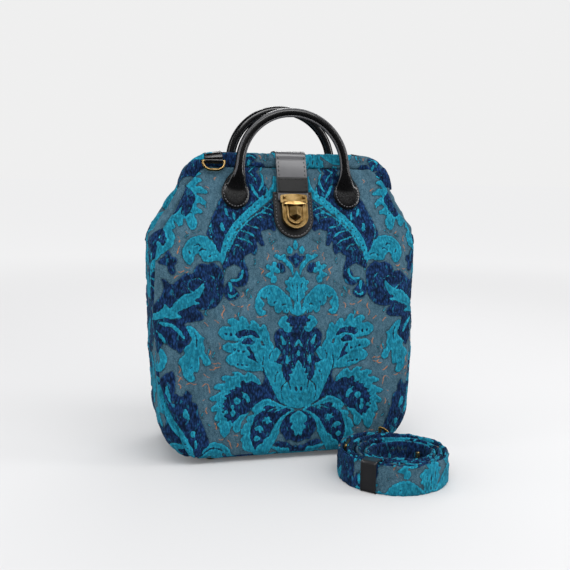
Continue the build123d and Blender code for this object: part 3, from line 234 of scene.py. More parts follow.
# Damask drawing: outlines in mm on the front, x from the middle line and z from the floor
damask = {
    "teal": [
        # upper lobed leaf with its inner stem
        [(40, 96), (46, 96), (54, 97), (62, 99), (68, 102), (73, 104), (76.5, 108), (76, 111), (72, 114.5),
         (69, 115.8), (74, 116), (78, 118), (80.3, 121), (78.5, 124.5), (74, 126), (67, 125.8), (63, 127),
         (69, 128), (76, 129), (80.5, 131), (84, 136), (82, 140.5), (77, 143.4), (72, 142), (70.5, 144),
         (74, 146.5), (73.5, 150), (69, 151.2), (65, 149.5), (61.5, 147), (61.5, 150.5), (59, 153),
         (56, 151.5), (53.5, 148), (51, 144.2), (50, 147), (46.5, 148.2), (43, 145), (40, 141),
         (38.5, 143.5), (36, 143.5), (33.5, 139.5), (31, 134), (30.3, 128), (27.5, 124), (26.2, 119.5),
         (28.5, 115.5), (24.5, 119), (21, 119.3), (19, 116.5), (20, 112), (22.5, 108), (24.5, 104.6),
         (20.5, 103.5), (18.2, 101), (18.5, 97), (17, 92), (14, 86), (14.5, 78), (13.5, 70), (8, 62),
         (5, 56), (12, 57), (20, 63), (26, 72), (30, 81), (34, 88), (37, 95)],
        # lower lobed leaf
        [(40, 81), (41, 86), (45, 90), (50, 94), (54, 95.5), (58, 92), (61, 95), (66, 96.4), (70, 95.3),
         (67, 92), (72, 92), (76, 93), (81, 91), (80.5, 88.5), (77, 86.5), (80, 84.5), (85, 84.8),
         (89.5, 81.5), (87, 79), (82, 78), (84, 75.5), (88, 73.5), (94, 70), (90.5, 67.3), (86, 66.8),
         (88, 64), (92.5, 59.5), (91, 56.5), (86.5, 56), (88.5, 52), (89, 48), (86, 46.2), (84, 46.5),
         (86.5, 42), (84, 39), (82.5, 33), (79.5, 29), (76, 30), (73, 35), (70.8, 40), (69.5, 36),
         (66.5, 33.4), (63, 33.4), (61.2, 38), (60.8, 43.5), (58, 47), (56, 50), (50, 55), (30, 62),
         (34, 72)],
        # bottom petal
        [(5, 54.5), (10, 56.5), (16, 58.5), (22, 61.5), (27, 64), (33, 65.8), (39, 64.5), (46, 62),
         (47.5, 60), (43.5, 58.5), (42.5, 56), (46, 56.6), (50, 55), (47.5, 51.5), (51, 50.5), (56, 47),
         (54.5, 43.5), (58, 41), (60.5, 36), (62, 31.5), (59.5, 29.5), (61.8, 24), (59.5, 21), (60, 17.5),
         (57.5, 13.5), (53.5, 12), (49.5, 10.5), (46.5, 6), (43.5, 2.5), (39.5, 1.4), (35, 2), (32, 6),
         (30.5, 11), (27, 17), (23.5, 24), (20.8, 29.5), (20.3, 35), (18, 41), (14, 46.5), (9.5, 50),
         (5, 52.5)],
        # crozier beside the shield
        [(3.6, 152), (5, 158), (6, 165), (9, 171), (14, 176.5), (19, 181), (24, 183.3), (29, 183.8),
         (35, 182), (40, 178), (43.6, 172), (45.3, 165), (44.5, 159), (42.5, 155), (39, 152.8),
         (35.5, 153.6), (33.3, 156), (35, 158), (38.2, 159.5), (35.3, 163.5), (37, 167.5), (39.3, 172),
         (35, 170), (32.2, 171.5), (31.8, 166), (28.5, 162), (25.2, 162), (24.5, 158), (21.5, 154.6),
         (19, 155), (17, 158), (15.2, 155.2), (10.5, 154.2), (9.3, 158), (7, 154)],
        # collar
        [(13, 152.5), (17.5, 150.2), (21, 145.5), (20, 141.5), (15.5, 138), (13.5, 134), (10.5, 133),
         (7, 134.5), (5.8, 139), (9, 141.5), (8, 144), (12.5, 146), (10, 149.5)],
        [(0, 140.5), (3.2, 138.5), (4.2, 134.5), (2.5, 130.5), (0, 129), (-2.5, 130.5), (-4.2, 134.5),
         (-3.2, 138.5)],
        # bottom of the pineapple
        [(0, 54.6), (7, 57), (13, 63), (17, 71), (18.3, 79), (17.3, 86), (14.6, 91), (11.2, 84), (8, 88.5),
         (6.3, 95), (3.5, 101), (0, 105.6), (-3.5, 101), (-6.3, 95), (-8, 88.5), (-11.2, 84), (-14.6, 91),
         (-17.3, 86), (-18.3, 79), (-17, 71), (-13, 63), (-7, 57)],
        # shield leaf
        [(0, 151.5), (4.2, 153), (3.9, 160), (3.4, 166), (7.5, 171), (8.4, 176), (11.6, 179), (10.4, 182.5),
         (13, 186.5), (9.2, 188.5), (7.6, 192), (4.2, 190.8), (2.4, 195), (0, 198.6), (-2.4, 195),
         (-4.2, 190.8), (-7.6, 192), (-9.2, 188.5), (-13, 186.5), (-10.4, 182.5), (-11.6, 179), (-8.4, 176),
         (-7.5, 171), (-3.4, 166), (-3.9, 160), (-4.2, 153)],
        # sprig above the shield
        [(3.6, 193), (6, 197.5), (9.5, 203), (14, 207.5), (19.5, 210), (24, 213.6), (20.5, 215.6),
         (16.4, 213.4), (13.4, 215.8), (10.6, 214.4), (10.8, 210.6), (6.6, 206.6), (3.4, 200)],
        [(4.6, 216), (8.6, 216.6), (9.2, 221), (6.4, 223.4), (3.4, 220.5)],
        [(0, 219.5), (2.2, 222), (2.8, 226), (0, 229.5), (-2.8, 226), (-2.2, 222)],
        [(33.2, 203), (30, 205.2), (27.2, 203.2), (24.4, 207.6), (21.4, 206.4), (21.6, 201.6), (18.4, 201),
         (17.6, 197.2), (21, 195.6), (24, 197), (24.6, 193.4), (28, 190.6), (33.4, 193.4), (31, 196.2),
         (27.6, 198.4), (31, 200.2)],
        [(26.5, 192), (22.6, 193.6), (21.6, 188.4), (24.6, 185.4), (28, 187)],
        # side crozier
        [(76, 195), (77.6, 203), (80.6, 209), (86.5, 208.6), (92.5, 208), (97.6, 209), (100.6, 213.8),
         (103.4, 216.5), (106.6, 214), (107.4, 211), (110, 206.4), (112.6, 205.6), (116.6, 209.6),
         (119, 216), (117.2, 223.5), (112.6, 230), (105.6, 233.6), (98, 234.4), (91, 231.6), (85, 226),
         (80.4, 219.6), (77.6, 212), (75.4, 203)],
        # small sprig at the side
        [(116.5, 143.6), (111, 143.8), (106, 139.6), (102, 134.4), (98, 132), (99.6, 128), (98.4, 122),
         (97.4, 115.6), (93.4, 110.4), (92, 106), (95.4, 103.6), (99.4, 105), (101.4, 110.4), (103.6, 113),
         (103.6, 105), (105.6, 98), (110, 97.4), (108.4, 90.4), (111.4, 87.8), (115.4, 88.8), (119.4, 93),
         (121.4, 98.4), (122.4, 104), (125.4, 107.6), (123, 113), (118.4, 116.4), (119.4, 121),
         (115.4, 125.4), (111.4, 130), (113.4, 136)],
        # shoulder leaf
        [(96, 297), (102, 294), (95, 290.5), (100, 287), (103, 284), (97, 283.6), (91.5, 279.6), (91, 277),
         (97, 276.6), (102, 276.4), (96.6, 272.6), (92.8, 268), (94.6, 265.4), (100.6, 267), (102.6, 263.4),
         (97.6, 260.4), (96.4, 256.8), (101.4, 256.6), (105.4, 255), (102.6, 249.6), (103.4, 243),
         (108, 239.8), (112.4, 244.4), (114, 250.4), (117, 251), (117.4, 246), (121.4, 243.6), (124.6, 248),
         (127, 249.6), (124.6, 243), (128.6, 240), (125.4, 233), (128.4, 225), (134.4, 219.6), (140, 215.6),
         (145, 209.6), (150, 211.6), (155, 222), (155, 262), (140, 268), (126, 262), (119, 272), (118, 284),
         (110, 293), (103, 300)],
        # leaf at the lower corner
        [(106, 3), (105, 10), (99.4, 18.6), (92, 23.8), (84.4, 23), (76.4, 19), (71.4, 12), (68.2, 3),
         (72.4, 2.6), (75.4, 7), (79, 3), (88, 2)],
        [(151, 100), (144, 98.6), (139, 103.4), (136.8, 111.4), (138.8, 119), (143, 122.6), (145.6, 118),
         (143.6, 110.4), (146.6, 106), (151, 108.6)],
        # scallops under the middle petal
        [(28.4, 15.4), (27.4, 12.8), (22.4, 9.8), (18.4, 4), (15, 0), (9.6, 0), (8.8, 8), (10.6, 13),
         (14.8, 13), (16.4, 16), (20.4, 16.8), (23.4, 15)],
        [(0, 13), (3.2, 9), (2, 4), (0, 0), (-2, 4), (-3.2, 9)],
    ],
    "tealBand": [
        # ogee vine, its twin line, and their continuation at the lower corner
        ([(17.5, 296), (18.5, 285), (24, 276), (33, 269.5), (43, 261.5), (52, 254), (60, 246.5), (67, 237.5),
          (73, 227.5), (76.5, 217.5), (77.4, 209)], [4, 6, 7.4, 8, 7.6, 7.4, 7.4, 7.6, 7.4, 6, 3]),
        ([(156, 84), (150, 73), (143, 60), (134, 48.5), (125.5, 36), (117.5, 21), (111, 3)],
          [5, 6, 7, 7.6, 8, 8.6, 9]),
    ],
    "navy": [
        # hook in the upper leaf
        [(66.4, 135), (60, 138.8), (54, 139.2), (48, 138), (43.4, 134.4), (40.8, 130), (44, 130.6),
         (48.6, 132.8), (54, 132.8), (59, 132), (62.4, 130.6)],
        [(59.6, 127.6), (54.4, 130.4), (49.6, 129), (46.2, 126), (48.8, 123.4), (53, 124), (59.4, 124.4)],
        [(55.6, 121.4), (51.4, 121), (49.4, 116.8), (47, 113), (44.6, 107), (42.6, 104), (48, 107.6),
         (54.6, 111), (51, 113.4), (53.2, 118)],
        # inside of the lower leaf
        [(5, 55.6), (13, 58.4), (20, 62.8), (25, 69.6), (28.2, 78), (30.4, 82), (33, 88), (35.6, 93.5),
         (36.4, 87), (40, 81.6), (45, 84), (50, 86.6), (53, 85.4), (56, 84), (58, 86), (60.6, 86.8),
         (61.6, 82.6), (60.4, 80.4), (64.4, 80.4), (67.4, 81.4), (66.4, 79), (70, 78.4), (74.4, 78),
         (72.6, 75.2), (77, 72.6), (78.4, 71), (75.4, 69.6), (79, 67), (76.4, 66), (80.6, 64), (78.4, 62),
         (80.6, 59.6), (79, 57.6), (81.4, 55.6), (78.4, 54), (79.4, 51), (76.4, 48.4), (75.4, 45),
         (72.4, 46.4), (70.6, 42.6), (68, 45.4), (65, 48), (63, 50.4), (60, 51.4), (57, 52), (53.6, 54),
         (50.4, 56), (47, 61), (42, 64), (36, 66.6), (28, 66), (21, 61.6), (14, 58.4)],
        # inside of the bottom petal
        [(14, 56.6), (21, 57.4), (27, 58.8), (33, 60), (36.4, 59), (38, 57), (36, 55.4), (41, 53),
         (44.6, 50.6), (47.4, 47.6), (48.4, 42), (50.4, 38), (51.8, 32), (51.2, 26), (49.6, 20), (47.6, 15),
         (46, 12), (44, 17), (41, 19.2), (38, 20), (36.2, 24), (33.4, 26.4), (30.8, 27.6), (29, 32),
         (25.4, 38), (21.4, 44), (17, 48.4), (12, 51.6), (8, 54)],
        # middle petal
        [(0, 52.4), (6, 51.8), (11, 49.2), (15, 45.6), (18, 41), (19.4, 36), (18.8, 30), (15.2, 26),
         (13, 21.6), (8, 21.4), (5, 19.6), (0, 18.6), (-5, 19.6), (-8, 21.4), (-13, 21.6), (-15.2, 26),
         (-18.8, 30), (-19.4, 36), (-18, 41), (-15, 45.6), (-11, 49.2), (-6, 51.8)],
        [(25.4, 17.4), (24, 20), (20.4, 20.8), (14, 19.4), (9, 17.4), (5, 14.2), (2, 15.4), (0, 14),
         (-2, 15.4), (-5, 14.2), (-9, 17.4), (-14, 19.4), (-20.4, 20.8), (-24, 20), (-25.4, 17.4),
         (-18, 13.4), (-10.4, 13.6), (-9, 7), (-9, 0), (9, 0), (9, 7), (10.4, 13.6), (18, 13.4)],
        # pineapple
        [(0, 141.6), (5, 140.4), (8, 136), (13, 135), (17, 138.4), (21.6, 138), (25.4, 133), (25, 125),
         (23.4, 120), (20.4, 117), (17.6, 112), (20.6, 108.6), (25.4, 104.6), (19, 103.4), (17, 99),
         (16.6, 92), (14, 86), (10, 82), (0, 84), (-10, 82), (-14, 86), (-16.6, 92), (-17, 99), (-19, 103.4),
         (-25.4, 104.6), (-20.6, 108.6), (-17.6, 112), (-20.4, 117), (-23.4, 120), (-25, 125), (-25.4, 133),
         (-21.6, 138), (-17, 138.4), (-13, 135), (-8, 136), (-5, 140.4)],
        # star in the collar
        [(0, 151.6), (4.6, 150.8), (9, 153.4), (9.6, 150), (14.4, 147), (9.6, 145.4), (8.4, 142.6),
         (4, 141.2), (0, 141.6), (-4, 141.2), (-8.4, 142.6), (-9.6, 145.4), (-14.4, 147), (-9.6, 150),
         (-9, 153.4), (-4.6, 150.8)],
        # small scrolls
        [(72, 213.6), (60, 213.6), (55, 208), (52, 200), (51.4, 192), (54, 185), (60, 182.4), (66, 183.8),
         (70.4, 188), (68.4, 191), (63.4, 191.6), (61.4, 196), (58.6, 200.4), (62, 204), (66, 205.2),
         (71.4, 203), (77, 200), (78, 208)],
        [(75.4, 183), (72.4, 188), (68, 184), (63.4, 178.4), (61.6, 173.6), (65.4, 170), (70, 168.6),
         (75, 171.6), (77.4, 177)],
        # leaf inside the vine
        [(72, 226), (66, 236), (58, 245), (48, 252), (38, 259), (28, 266), (20, 272), (17, 262), (18.4, 248),
         (21.4, 239), (26, 241), (31, 240), (36.4, 238.4), (34.4, 231), (33.4, 225), (37, 223.8), (41, 228),
         (41.4, 220), (44, 214.6), (48, 217), (51.6, 215), (55, 213), (56, 207), (63, 207.4), (70, 208),
         (77, 210)],
        # leaf outside the vine
        [(93.4, 236), (91, 243), (87.4, 252), (82, 262), (77, 272), (60, 284), (52, 299), (40, 301),
         (33, 293), (28.4, 285), (31, 274), (42, 266), (52, 257), (62, 248), (70, 238), (77, 226), (79, 216),
         (83, 221), (88, 229)],
        # sprig
        [(9.4, 213), (4, 213), (0, 216.6), (-4, 213), (-9.4, 213), (-4, 206), (0, 200.6), (4, 206)],
        [(20, 206.4), (14, 204.6), (11.4, 198.6), (15.6, 196), (19, 199.4)],
        # peacock leaf
        [(77, 190), (77.6, 198), (82, 203.6), (88, 207.6), (94, 205.4), (100, 206.6), (106, 202.6),
         (109, 196.4), (116, 196.6), (124, 190.6), (130, 186), (136, 190.4), (140.6, 191.4), (138.4, 185),
         (139.6, 178), (144, 171.4), (151, 165), (156, 168), (156, 118), (150, 117), (145, 118), (142, 125),
         (137, 127.4), (130, 122), (127, 120.6), (123, 116.6), (120, 121.6), (115.4, 126), (112.4, 132),
         (114.4, 139), (118, 146.6), (110, 148.6), (104, 149), (98.4, 151.6), (100.4, 157), (107, 162.6),
         (100, 160.4), (92, 160.6), (86, 163), (80, 170), (77.6, 180)],
        # shoulder leaf inside
        [(119, 286), (112.4, 284), (107, 279), (103.6, 272.6), (106, 265), (109.4, 258.4), (114.6, 253.6),
         (119, 257), (117, 265), (121, 259), (128, 256), (124, 268), (121, 280)],
        [(137.4, 241), (134.4, 231), (137.6, 224.6), (141, 227.6), (145.4, 232), (143, 240)],
        [(143.4, 208.4), (137.4, 214), (133, 219.6), (129.6, 213.4), (125.6, 212.4), (124.8, 208),
         (128, 204), (126, 199), (130, 195.6), (133.4, 200), (134.4, 204.4), (140, 206)],
        # lower corner
        [(140.4, 94.6), (133, 99.6), (129.6, 97), (128.8, 90), (128.8, 80), (131, 70), (131.6, 59),
         (137, 61.6), (144, 72), (148.6, 81), (145, 90)],
        [(128.4, 76.4), (122, 73.4), (117, 79.6), (112.6, 75.4), (111.8, 68), (107, 64.4), (105, 55),
         (101.6, 45), (97, 33), (94.6, 22), (100, 17), (106, 8), (112, 18), (119, 31), (127, 43.4),
         (133, 54), (131, 66)],
        [(156, 62), (149, 56), (140, 44.4), (131, 32), (124, 18), (118, 3), (127, 3), (139, 18), (150, 40),
         (156, 52)],
    ],
    "tealTop": [
        # flame in the pineapple
        [(0, 105.6), (3.4, 101), (4.4, 96.4), (8.4, 97.4), (6.6, 92.4), (10.6, 91.4), (8.6, 86.4),
         (12.4, 83.4), (8, 78), (0, 76), (-8, 78), (-12.4, 83.4), (-8.6, 86.4), (-10.6, 91.4), (-6.6, 92.4),
         (-8.4, 97.4), (-4.4, 96.4), (-3.4, 101)],
        # flame in the middle petal
        [(0, 53), (4.6, 50.4), (8.8, 46.6), (9, 41.6), (6.2, 38.4), (8, 34.6), (5.2, 31.2), (3.8, 26.4),
         (2.2, 24.6), (0, 29), (-2.2, 24.6), (-3.8, 26.4), (-5.2, 31.2), (-8, 34.6), (-6.2, 38.4),
         (-9, 41.6), (-8.8, 46.6), (-4.6, 50.4)],
        # star, fan and lozenge in the bottom petal
        [(38, 48.6), (34.4, 46.6), (31.6, 48), (31, 44.6), (28.4, 42), (32, 41.6), (34, 39.6), (35, 42.6),
         (38.4, 43.6), (36.4, 45.6)],
        [(47.4, 36.4), (43.4, 38.8), (39, 37.2), (36.4, 32), (39, 34), (41, 31.4), (42.6, 34.2), (45.4, 34)],
        [(48, 25), (44.6, 28.4), (41.4, 25), (44.4, 22)],
        # lattice in the lower leaf
        [(61, 75.6), (57.4, 74.4), (53.6, 71), (52, 65.4), (55.4, 63.4), (56.4, 67.6), (60, 69.4),
         (58.6, 72.6)],
        [(68.6, 68), (64.4, 69.6), (62, 66), (64.6, 62.6), (68, 64.4)],
        [(72, 61), (69, 62), (68.6, 58.8), (71, 58)],
        [(73, 53.6), (70, 57), (67, 53.6), (70, 50.4)],
        [(79, 56), (76.4, 57.4), (75, 54.6), (77.4, 53)],
        # pineapple facets
        [(19.4, 132), (16.4, 130), (13.6, 125.6), (14.4, 121), (17, 122.4), (18.6, 127)],
        [(0, 127.6), (3.4, 124), (4.8, 119.4), (1.6, 120.6), (0, 123), (-1.6, 120.6), (-4.8, 119.4),
         (-3.4, 124)],
        [(0, 116.4), (1.8, 113.4), (0, 110.4), (-1.8, 113.4)],
        [(12.4, 112), (10.6, 107), (12, 101), (14, 105)],
        # crescents in the small scrolls
        [(69.2, 190.4), (69.2, 188.6), (62, 188.2), (57.4, 192), (56, 198.6), (58.2, 199.6), (59.4, 194.6),
         (62.4, 190.8)],
        [(74.2, 177.6), (72.6, 172.8), (67.6, 171.6), (62.6, 176.4), (64, 177.2), (67.6, 174), (71.6, 175)],
        [(72.4, 187), (69.6, 186), (68.6, 179), (70.8, 178.6)],
        # plume in the peacock leaf
        [(156, 158), (149, 157), (141, 161), (137.4, 166.6), (132.4, 162.6), (127.6, 168), (122, 173),
         (116.6, 176.4), (110, 177.6), (104, 182), (99, 186.6), (97.4, 182.4), (99.4, 178), (103, 172.4),
         (108, 169.4), (103, 166.6), (111, 164.6), (117, 162), (125.4, 158), (121, 153.6), (129, 151.6),
         (138, 153), (148, 150), (156, 151)],
        # streaks in the outer leaf
        [(73.4, 262), (70.6, 260.4), (70, 254), (72.6, 255.6)],
        [(65.4, 258.6), (63.4, 257), (62.4, 249.6), (64.6, 251.4)],
        [(79, 245), (76.4, 247.4), (74.6, 240), (77.2, 238.4)],
        [(46, 288), (42.4, 285), (38.4, 278), (35.4, 271.6), (39.4, 275), (43.4, 281)],
        # streaks in the lower navy leaves
        [(137, 86), (134.6, 80), (133, 68), (136, 72), (138.6, 80)],
        [(119.6, 61), (115.4, 56), (114.4, 49), (118, 50.4), (121.6, 54)],
        [(112, 38), (108.4, 36), (110.6, 30.6), (114, 33)],
        [(108.6, 28), (106.4, 24), (107.6, 18), (109.6, 22)],
        [(147, 236), (141.6, 237.4), (141, 233), (145, 231.6)],
        [(143.4, 148.6), (131, 147), (121, 138), (118.4, 130.6), (123.6, 136), (131, 143), (140, 145)],
        [(146, 140), (139.6, 134), (137.4, 126.6), (141.4, 131)],
    ],
    "tealLine": [
        ([(21, 269), (29, 262), (40, 255.6), (51, 248), (60, 239), (67, 228), (71.6, 217), (74, 208)], 1.7),
        ([(152, 58), (144, 52), (134, 39), (127, 27), (121, 12), (118, 3)], 1.8),
        ([(60, 240), (53, 238.4), (46, 235.4), (42, 231.4)], 1.9),
        ([(64, 233), (57, 231), (50, 228.4), (45, 224)], 1.7),
        ([(68, 226), (60, 224), (55, 219.6)], 1.3),
        ([(52, 246), (44, 243), (37, 242)], 1.3),
        ([(38, 257), (31, 257.6), (24, 255.4)], 1.5),
        ([(42, 253), (34, 253.4), (28, 251)], 1.3),
        ([(33, 264), (27, 262.4), (22, 260)], 1.3),
        ([(34, 300), (31, 292), (32.6, 285), (36, 280)], 2.4),
        ([(28, 286), (27, 278), (30, 271)], 1.8),
        ([(46, 300), (40, 294), (37.4, 288)], 1.2),
        ([(86, 226), (90, 238), (88, 248)], 1.0),
        ([(20, 57), (27, 55.8), (33, 53.6)], 1.4),
        ([(12, 57), (20, 55.4), (26, 52.4)], 1.6),
        ([(146, 84), (143, 72), (136, 60)], 1.2),
        ([(148, 96), (147, 88), (146, 80)], 1.4),
        ([(139, 30), (133, 28), (128, 22)], 1.2),
        ([(137, 26), (131, 22), (126, 16)], 1.2),
        ([(142, 38), (136, 33), (130, 28)], 1.0),
        ([(150, 140), (149, 130), (147, 122)], 1.2),
        ([(112, 189), (104, 192), (96, 188)], 0.9),
        ([(92, 196), (86, 190), (84, 180)], 0.9),
        ([(120, 186), (113, 181), (106, 174)], 0.9),
        ([(130, 178), (125, 170), (118, 166)], 0.9),
        ([(11, 130), (9.4, 120), (10, 108), (12.6, 98)], 1.0),
        ([(21.6, 128), (20.4, 123), (17.4, 118)], 0.9),
        ([(6, 112), (7, 105), (5.6, 98)], 0.8),
    ],
    "navyTop": [
        # cuts and dots in the teal
        [(77, 136.4), (75, 136.2), (74.8, 134.2), (76.6, 133.8)],
        [(72, 136), (70, 136), (69.6, 133.4), (71.8, 133)],
        [(68.6, 120), (66.4, 119.8), (66, 118), (68, 117.8)],
        [(64, 118.4), (62, 118.2), (61.8, 116.6), (63.6, 116.2)],
        [(59.4, 118), (57.4, 117.8), (57, 116), (59, 115.6)],
        [(65, 104.6), (63, 104.4), (63.2, 102.8), (65, 103)],
        [(61, 104.2), (58.6, 103.8), (58.8, 102.4), (61, 102.6)],
        [(56, 103.4), (53.6, 103), (53.8, 101.6), (56, 101.8)],
        [(4.4, 77.6), (2, 77.6), (1.6, 74), (3.2, 73)],
        [(26, 105.4), (21, 104.8), (18, 103.6), (21.4, 103)],
    ],
    "navyLine": [
        ([(22, 95), (24.6, 90), (25.4, 84)], 1.0),
        ([(17, 97), (16.4, 90), (14.6, 86)], 1.1),
        ([(13, 84), (18.4, 78), (18.8, 71), (16.6, 64)], 1.3),
        ([(12.4, 90), (10.4, 82), (9, 75)], 1.4),
        ([(38, 100), (36.4, 92), (34, 86)], 1.4),
        ([(37, 112), (38.4, 104), (38, 97)], 1.0),
        ([(28, 116), (31, 111), (30, 106)], 1.0),
        ([(39, 127), (36.6, 122)], 1.4),
        ([(22, 166.6), (25.4, 166), (24.4, 163.4)], 1.3),
        ([(12, 163), (15.4, 164), (17.4, 161)], 1.1),
        ([(29.4, 176), (31.4, 173.4)], 1.2),
        ([(10.4, 152), (12, 158)], 0.9),
        ([(0, 166), (0, 176), (0, 186)], 0.9),
        ([(5.4, 186), (4.6, 180)], 0.9),
        ([(104, 9), (97, 15.4), (90, 18), (84, 16.6), (80, 14)], 1.8),
        ([(92, 213), (86, 216), (81, 213)], 1.2),
        ([(94, 219.6), (99, 221), (103, 217.6)], 1.5),
        ([(107, 224), (103, 226), (100, 223.6)], 1.2),
        ([(112, 219), (110.6, 216)], 1.4),
        ([(108, 137), (106, 130), (107, 122)], 1.4),
        ([(111, 104), (113.6, 101)], 1.1),
        ([(112, 262), (108, 257)], 1.2),
        ([(107, 268), (111, 262)], 1.4),
        ([(86, 65), (83, 61)], 0.8),
        ([(29, 268.6), (38, 262.4), (48, 254.4), (58, 245), (66, 234), (71.4, 222)], 0.01),
    ],
    "groundTop": [
        # gaps of ground inside scrolls
        [(96, 8), (91, 9.4), (84, 6), (81, 3), (86, 3), (91, 6)],
        [(80, 12), (76, 9), (77, 5), (80.4, 7)],
        [(62, 203), (65.4, 204), (70, 201), (71.6, 197), (68.4, 192.6), (64.4, 193), (62.4, 198)],
        [(40, 126.6), (37.4, 126), (37, 123), (39, 122)],
    ],
}

# dotted line along the vine
vineDots = [
    [(24, 279), (33, 270), (43, 262), (52, 254.6), (60, 247), (67, 238), (73, 228), (76.4, 218)],
    [(146, 66), (137, 53), (128, 40), (120, 27), (113.6, 12)],
]


def lengthAlong(path):
    return np.concatenate([[0], np.cumsum(np.linalg.norm(np.diff(path, axis=0), axis=1))])


def unitHeading(path):
    heading = np.gradient(path, axis=0)
    return heading / np.linalg.norm(heading, axis=1)[:, None]


def relax(line, rounds):
    for _ in range(rounds):
        line[1:-1] = (line[:-2] + 2 * line[1:-1] + line[2:]) / 4


def smoothLoop(points, closed=True, steps=6):
    p = np.array(points, float)
    n = len(p)
    out = []
    last = n if closed else n - 1
    for i in range(last):
        a, b = p[(i - 1) % n], p[i]
        c, d = p[(i + 1) % n], p[(i + 2) % n]
        if not closed:
            a = p[max(i - 1, 0)]
            d = p[min(i + 2, n - 1)]
        for k in range(steps):
            t = k / steps
            bend, twist = 2 * a - 5 * b + 4 * c - d, 3 * b - a - 3 * c + d
            out.append(0.5 * ((2 * b) + (c - a) * t + bend * t * t + twist * t ** 3))
    if not closed:
        out.append(p[-1])
    return np.array(out)


def strokeLoop(points, widths):
    line = smoothLoop(points, False, 5)
    w = np.interp(np.linspace(0, 1, len(line)), np.linspace(0, 1, len(widths)), widths) / 2
    step = np.gradient(line, axis=0)
    step /= np.maximum(np.linalg.norm(step, axis=1), 1e-6)[:, None]
    side = np.stack([-step[:, 1], step[:, 0]], 1) * w[:, None]
    return np.concatenate([line + side, (line - side)[::-1]])


def insideDistance(loop, px, pz):
    # mm inside the loop, negative outside
    a = loop
    b = np.roll(loop, -1, 0)
    best = np.full(px.shape, 1e9)
    inside = np.zeros(px.shape, bool)
    for (ax, az), (bx, bz) in zip(a, b):
        dx, dz = bx - ax, bz - az
        lengthSq = dx * dx + dz * dz
        if lengthSq < 1e-9:
            continue
        t = np.clip(((px - ax) * dx + (pz - az) * dz) / lengthSq, 0, 1)
        d = (px - ax - t * dx) ** 2 + (pz - az - t * dz) ** 2
        best = np.minimum(best, d)
        if dz != 0:
            crosses = ((az > pz) != (bz > pz)) & (px < ax + (pz - az) * dx / dz)
            inside ^= crosses
    best = np.sqrt(best)
    return np.where(inside, best, -best)


def addLoop(field, loop, xs, zs, reach=3.0):
    x0, z0 = loop.min(0) - reach
    x1, z1 = loop.max(0) + reach
    i = np.searchsorted(xs, [x0, x1])
    j = np.searchsorted(zs, [z0, z1])
    if i[0] == i[1] or j[0] == j[1]:
        return
    gx, gz = np.meshgrid(xs[i[0]:i[1]], zs[j[0]:j[1]])
    part = field[j[0]:j[1], i[0]:i[1]]
    np.maximum(part, np.clip(insideDistance(loop, gx, gz), -reach, 1e9), out=part)


# Orange flecks and thin teal sketch lines on the ground weave
fleckLines = [
    [(79, 165), (77, 160), (80, 155), (78, 150)], [(72, 167), (69, 165), (66, 163)], [(64, 163), (60, 162),
     (57, 163.5)],
    [(67, 155), (65, 153), (68, 152)], [(45, 152), (41, 151), (36, 152.4), (32, 152.6)], [(83, 146),
     (85, 148), (88, 150)],
    [(84, 127), (82, 123), (83, 119)], [(92, 107), (88, 105), (85, 106), (81, 104)], [(90, 103), (86, 101),
     (82, 102.4)],
    [(94, 100), (90, 99), (87, 101)], [(100, 96), (97, 93), (93, 91)], [(102, 82), (98, 85), (95, 84),
     (94, 79), (93, 74)],
    [(125, 105), (123, 101), (125, 97)], [(127, 96), (124, 92), (126, 88)], [(123, 94), (121, 90)],
     [(126, 87), (123, 84), (124, 81)],
    [(118, 85), (113, 87), (110, 85), (106, 86)], [(89, 45), (87, 41), (87, 37)], [(85, 27), (82, 26),
     (79, 27.4)],
    [(76, 26), (73, 23), (72, 19), (70, 15)], [(70, 29), (67, 30), (64, 29)], [(25, 225), (24, 222),
     (25, 219)],
    [(31, 217), (29, 214), (31, 211), (30, 208)], [(18, 217), (20, 219), (23, 218)], [(40, 202), (37, 200),
     (35, 199), (37, 196), (37, 193)],
    [(36, 192), (34, 190), (33, 187)], [(28, 237), (26, 235)], [(110, 203), (114, 202), (117, 204)],
     [(117, 200), (121, 198), (124, 199)],
    [(122, 195), (126, 194), (128, 191)], [(113, 199), (116, 197)], [(124, 235), (121, 231), (122, 227)],
     [(121, 225), (123, 220), (124, 216)],
    [(93, 284), (90, 283), (88, 281)], [(80, 294), (83, 292), (81, 290)], [(27, 295), (26, 292)], [(99, 148),
     (96, 146), (94, 143)],
    [(60, 172), (57, 174), (58, 178)], [(50, 165), (53, 162), (52, 158)], [(96, 62), (98, 58), (96, 54)],
     [(98, 70), (101, 68)],
    [(47, 226), (50, 224), (48, 222)], [(87, 240), (90, 243), (92, 241)], [(112, 236), (115, 239)],
     [(94, 120), (92, 117), (94, 114)],
    [(29, 26), (26, 24), (27, 21)], [(28, 9), (30, 7), (28, 4)], [(54, 8), (57, 6), (60, 8)], [(66, 22),
     (64, 20), (66, 17)],
]
sketchLines = [
    [(47, 180), (50, 177), (49, 172), (52, 169)], [(51, 181), (54, 177), (53, 171)], [(56, 181), (58, 177)],
     [(95, 160), (97, 157), (95, 154)],
    [(92, 268), (94, 265), (92, 262)], [(100, 240), (104, 237), (108, 238)], [(112, 235), (116, 233)],
     [(100, 57), (102, 53), (101, 49)],
    [(95, 127), (93, 122), (95, 116), (94, 110)], [(20, 230), (24, 228), (26, 224)], [(28, 232), (27, 227)],
     [(45, 212), (43, 208), (45, 204)],
    [(88, 117), (90, 113), (88, 110)], [(60, 158), (63, 155), (62, 151)], [(96, 44), (93, 41)], [(40, 188),
     (43, 185)], [(66, 219), (63, 223)],
]


damaskGrid = {"step": 0.8, "halfWidth": 158.0, "height": 308.0, "mirrorX": 155.0, "mirrorZ": 300.0}   # mm


